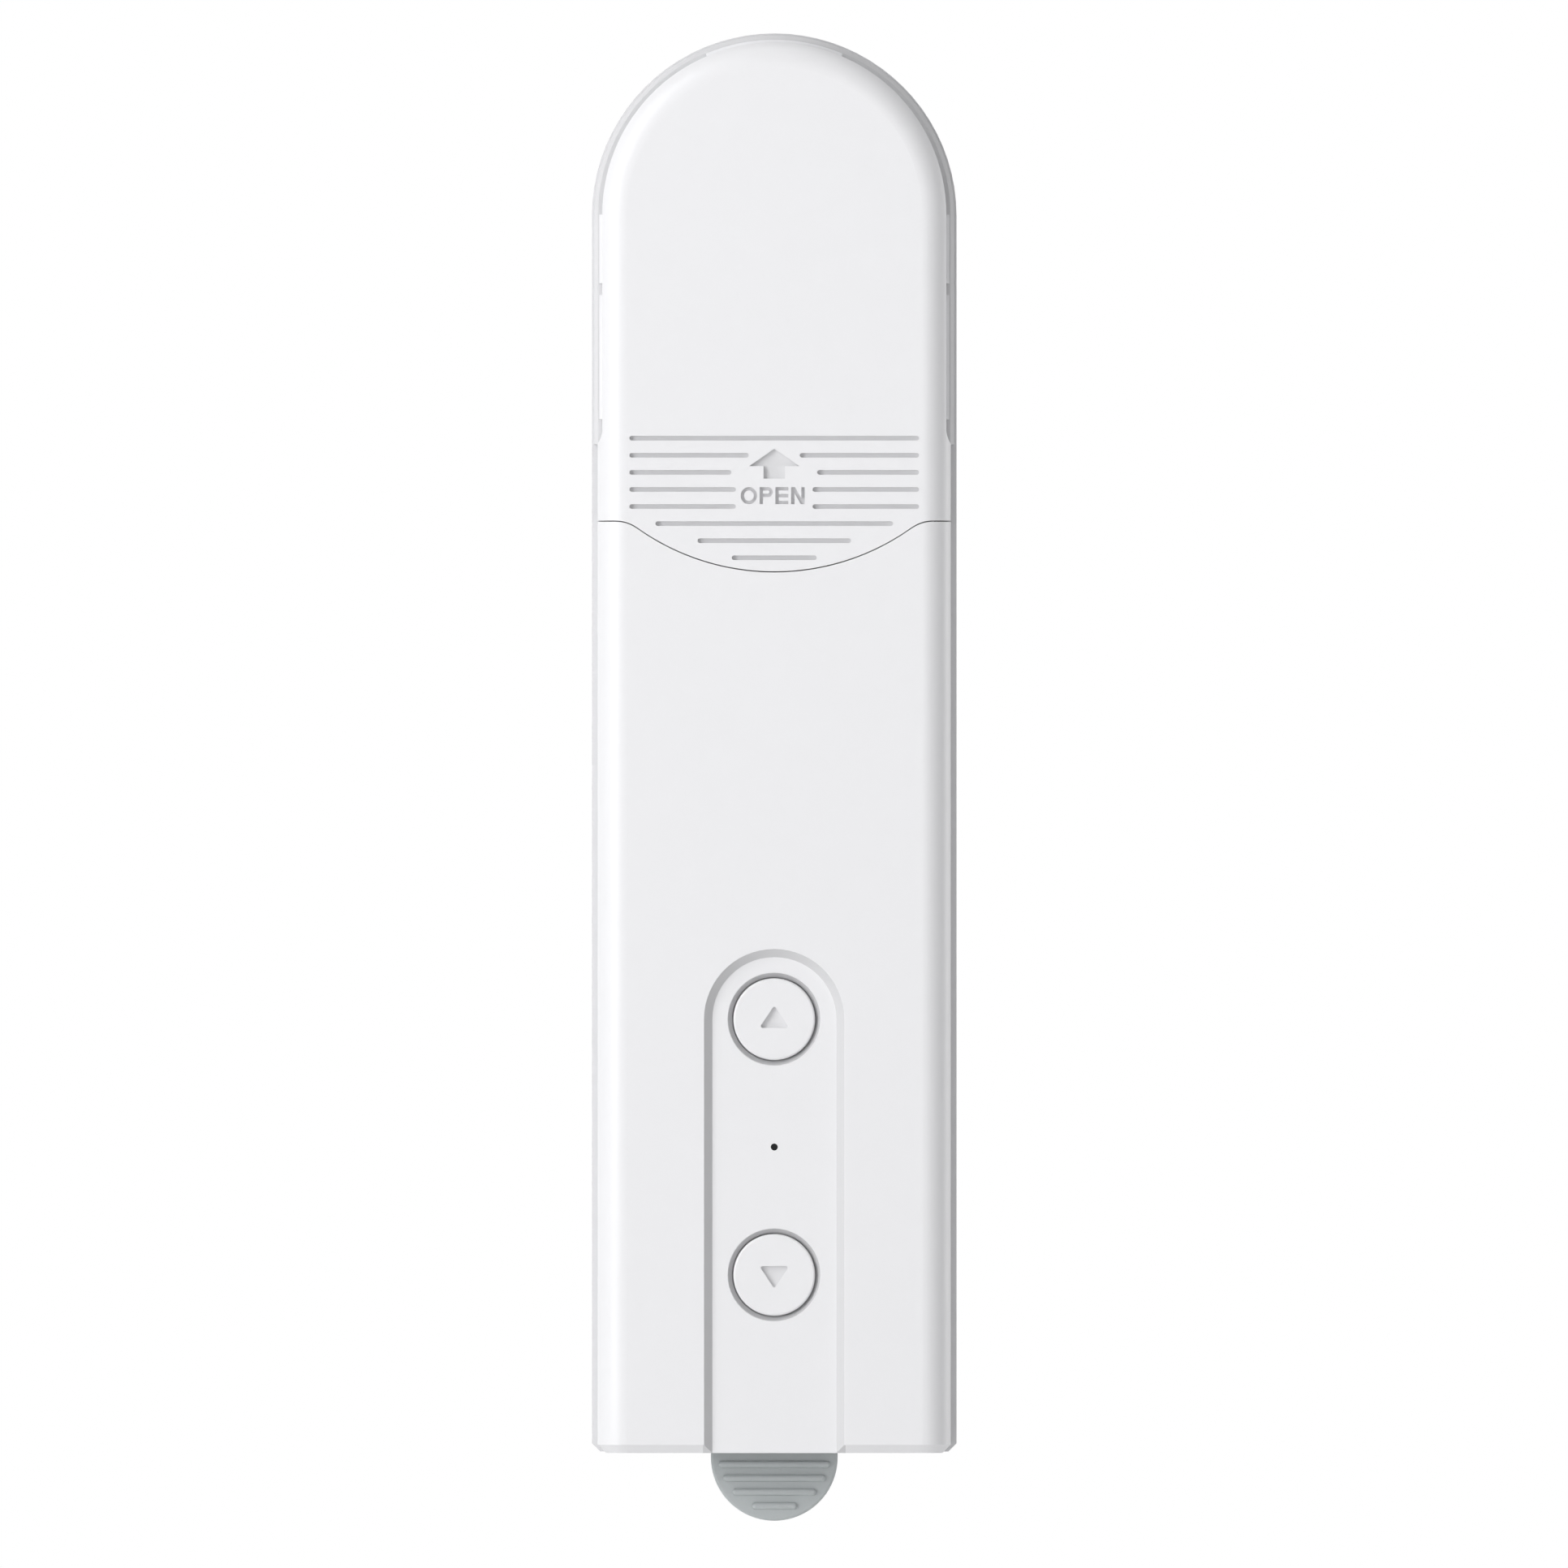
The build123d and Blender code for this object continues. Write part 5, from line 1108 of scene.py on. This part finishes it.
class MOTOR_OT_motor_parts(bpy.types.Operator):
    """The motor's end cap and terminals, and the ends of its leads"""
    bl_idname = "motor.motor_parts"
    bl_label = "Motor parts"

    def execute(self, context):
        x, (front, _), z = box_mm("motor_can")
        middle = (0, 0, sum(z) / 2)
        heap = {}
        cap = heap_mesh(heap, "black_plastic")
        block(cap, (x[0] + 1.6, x[1] - 1.6), (front - 0.25, front + 0.5), (z[0] + 1.2, z[1] - 1.2),
              0.2, 2.4)
        rim = ((2.6, front + 0.3), (3.6, front + 0.3), (3.6, front - 0.5), (3.4, front - 0.62),
               (2.8, front - 0.62), (2.6, front - 0.5))
        turned(cap, rim, middle, "Y", 40, closed=True)
        bush = ((1.0, front + 0.3), (2.65, front + 0.3), (2.65, front - 0.42), (1.0, front - 0.42))
        turned(heap_mesh(heap, "bronze"), bush, middle, "Y", 32, closed=True)
        solder = ((0.62, z[0] - 1.0), (0.72, z[0] - 1.1), (1.1, z[0] - 0.35), (1.35, z[0] + 0.1),
                  (0.62, z[0] + 0.1))
        for side in (-1, 1):
            turned(heap_mesh(heap, "steel"), solder, (side * MOTOR_LEAD_X, MOTOR_LEAD_Y, 0), "Z", 20,
                   closed=True)
            for dent in (-1, 1):
                spot = (side * 6.6, 0, middle[2] + dent * 4.2)
                pin(heap_mesh(heap, "steel"), 0.7, spot, front - 0.32, front + 0.2, chamfer=0.2,
                    steps=18)
        set_down(heap, "motor_end", "driver")
        return {"FINISHED"}


class MOTOR_OT_charging_socket(bpy.types.Operator):
    """The dark tongue and the gilt contacts inside the charging socket"""
    bl_idname = "motor.charging_socket"
    bl_label = "Charging socket"

    def execute(self, context):
        _, y, z = box_mm("usb_socket")
        middle = sum(y) / 2
        heap = {}
        heap_block(heap, "black_plastic", (-3.36, 3.36), (middle - 0.4, middle + 0.4),
                   (z[0] + 0.75, z[1] - 1.2), 0.12)
        for face in (-1, 1):
            for number in range(8):
                contact = (number - 3.5) * 0.75
                heap_block(heap, "gold", (contact - 0.15, contact + 0.15),
                           (middle + face * 0.38, middle + face * 0.44), (z[0] + 1.1, z[0] + 4.6), 0.02)
        for side in (-1, 1):
            for level in (z[0] + 2.2, z[1] - 1.6):
                heap_block(heap, "steel", (side * 4.3, side * 4.62), (y[1] - 1.6, y[1]),
                           (level - 0.5, level + 0.5), 0.06)
        set_down(heap, "charging", "driver")
        return {"FINISHED"}


class MOTOR_OT_stage(bpy.types.Operator):
    """Makes the camera, the lamps, the backdrop and the floor"""
    bl_idname = "motor.stage"
    bl_label = "Stage"

    def execute(self, context):
        stage = context.scene.motor_stage
        centre = Vector((0, LAMP_AIM_Y, (CAD_LOW.z + CAD_HIGH.z) / 2))
        data = bpy.data.cameras.new("camera")
        data.lens, data.sensor_width = stage.lens, SENSOR
        camera = bpy.data.objects.new("camera", data)
        context.scene.collection.objects.link(camera)
        distance = stage.frame_width * stage.lens / SENSOR
        camera.location = (VIEW_CENTRE[0], CAD_LOW.y + FACE_DROP - distance, VIEW_CENTRE[1])
        camera.rotation_euler = (radians(90), 0, 0)
        data.clip_start, data.clip_end = 0.1, 50
        context.scene.camera = camera
        for name, direction, size in LAMPS:
            lamp(f"{name}_lamp", direction, size, getattr(stage, f"{name}_level"), centre)
        make_world(stage.room_level)
        make_floor(CAD_LOW.z - stage.floor_drop)
        context.scene.view_settings.view_transform = "Standard"
        return {"FINISHED"}


class MOTOR_PT_parts(bpy.types.Panel):
    """Lists the steps that build the shade motor"""
    bl_idname = "MOTOR_PT_parts"
    bl_label = "Shade Motor"
    bl_space_type = "VIEW_3D"
    bl_region_type = "UI"
    bl_category = "Shade Motor"

    def draw(self, context):
        column = self.layout.column()
        for name in STEPS:
            column.operator(f"motor.{name}")


STEPS = ("finishes", "wall_pads", "tab_parts", "switches", "status_light", "main_board_parts", "cells",
         "small_boards", "motor_parts", "charging_socket", "stage")
CLASSES = (FinishSettings, PieceSettings, StageSettings, MOTOR_OT_finishes, MOTOR_OT_wall_pads,
           MOTOR_OT_tab_parts, MOTOR_OT_switches, MOTOR_OT_status_light, MOTOR_OT_main_board_parts,
           MOTOR_OT_cells, MOTOR_OT_small_boards, MOTOR_OT_motor_parts, MOTOR_OT_charging_socket,
           MOTOR_OT_stage, MOTOR_PT_parts)


def register():
    for cls in CLASSES:
        bpy.utils.register_class(cls)
    bpy.types.Scene.motor_finish = PointerProperty(type=FinishSettings)
    bpy.types.Scene.motor_pieces = PointerProperty(type=PieceSettings)
    bpy.types.Scene.motor_stage = PointerProperty(type=StageSettings)


def unregister():
    del bpy.types.Scene.motor_finish
    del bpy.types.Scene.motor_pieces
    del bpy.types.Scene.motor_stage
    for cls in reversed(CLASSES):
        bpy.utils.unregister_class(cls)


def main():
    register()
    for name in STEPS:
        getattr(bpy.ops.motor, name)()


if __name__ == "__main__":
    main()
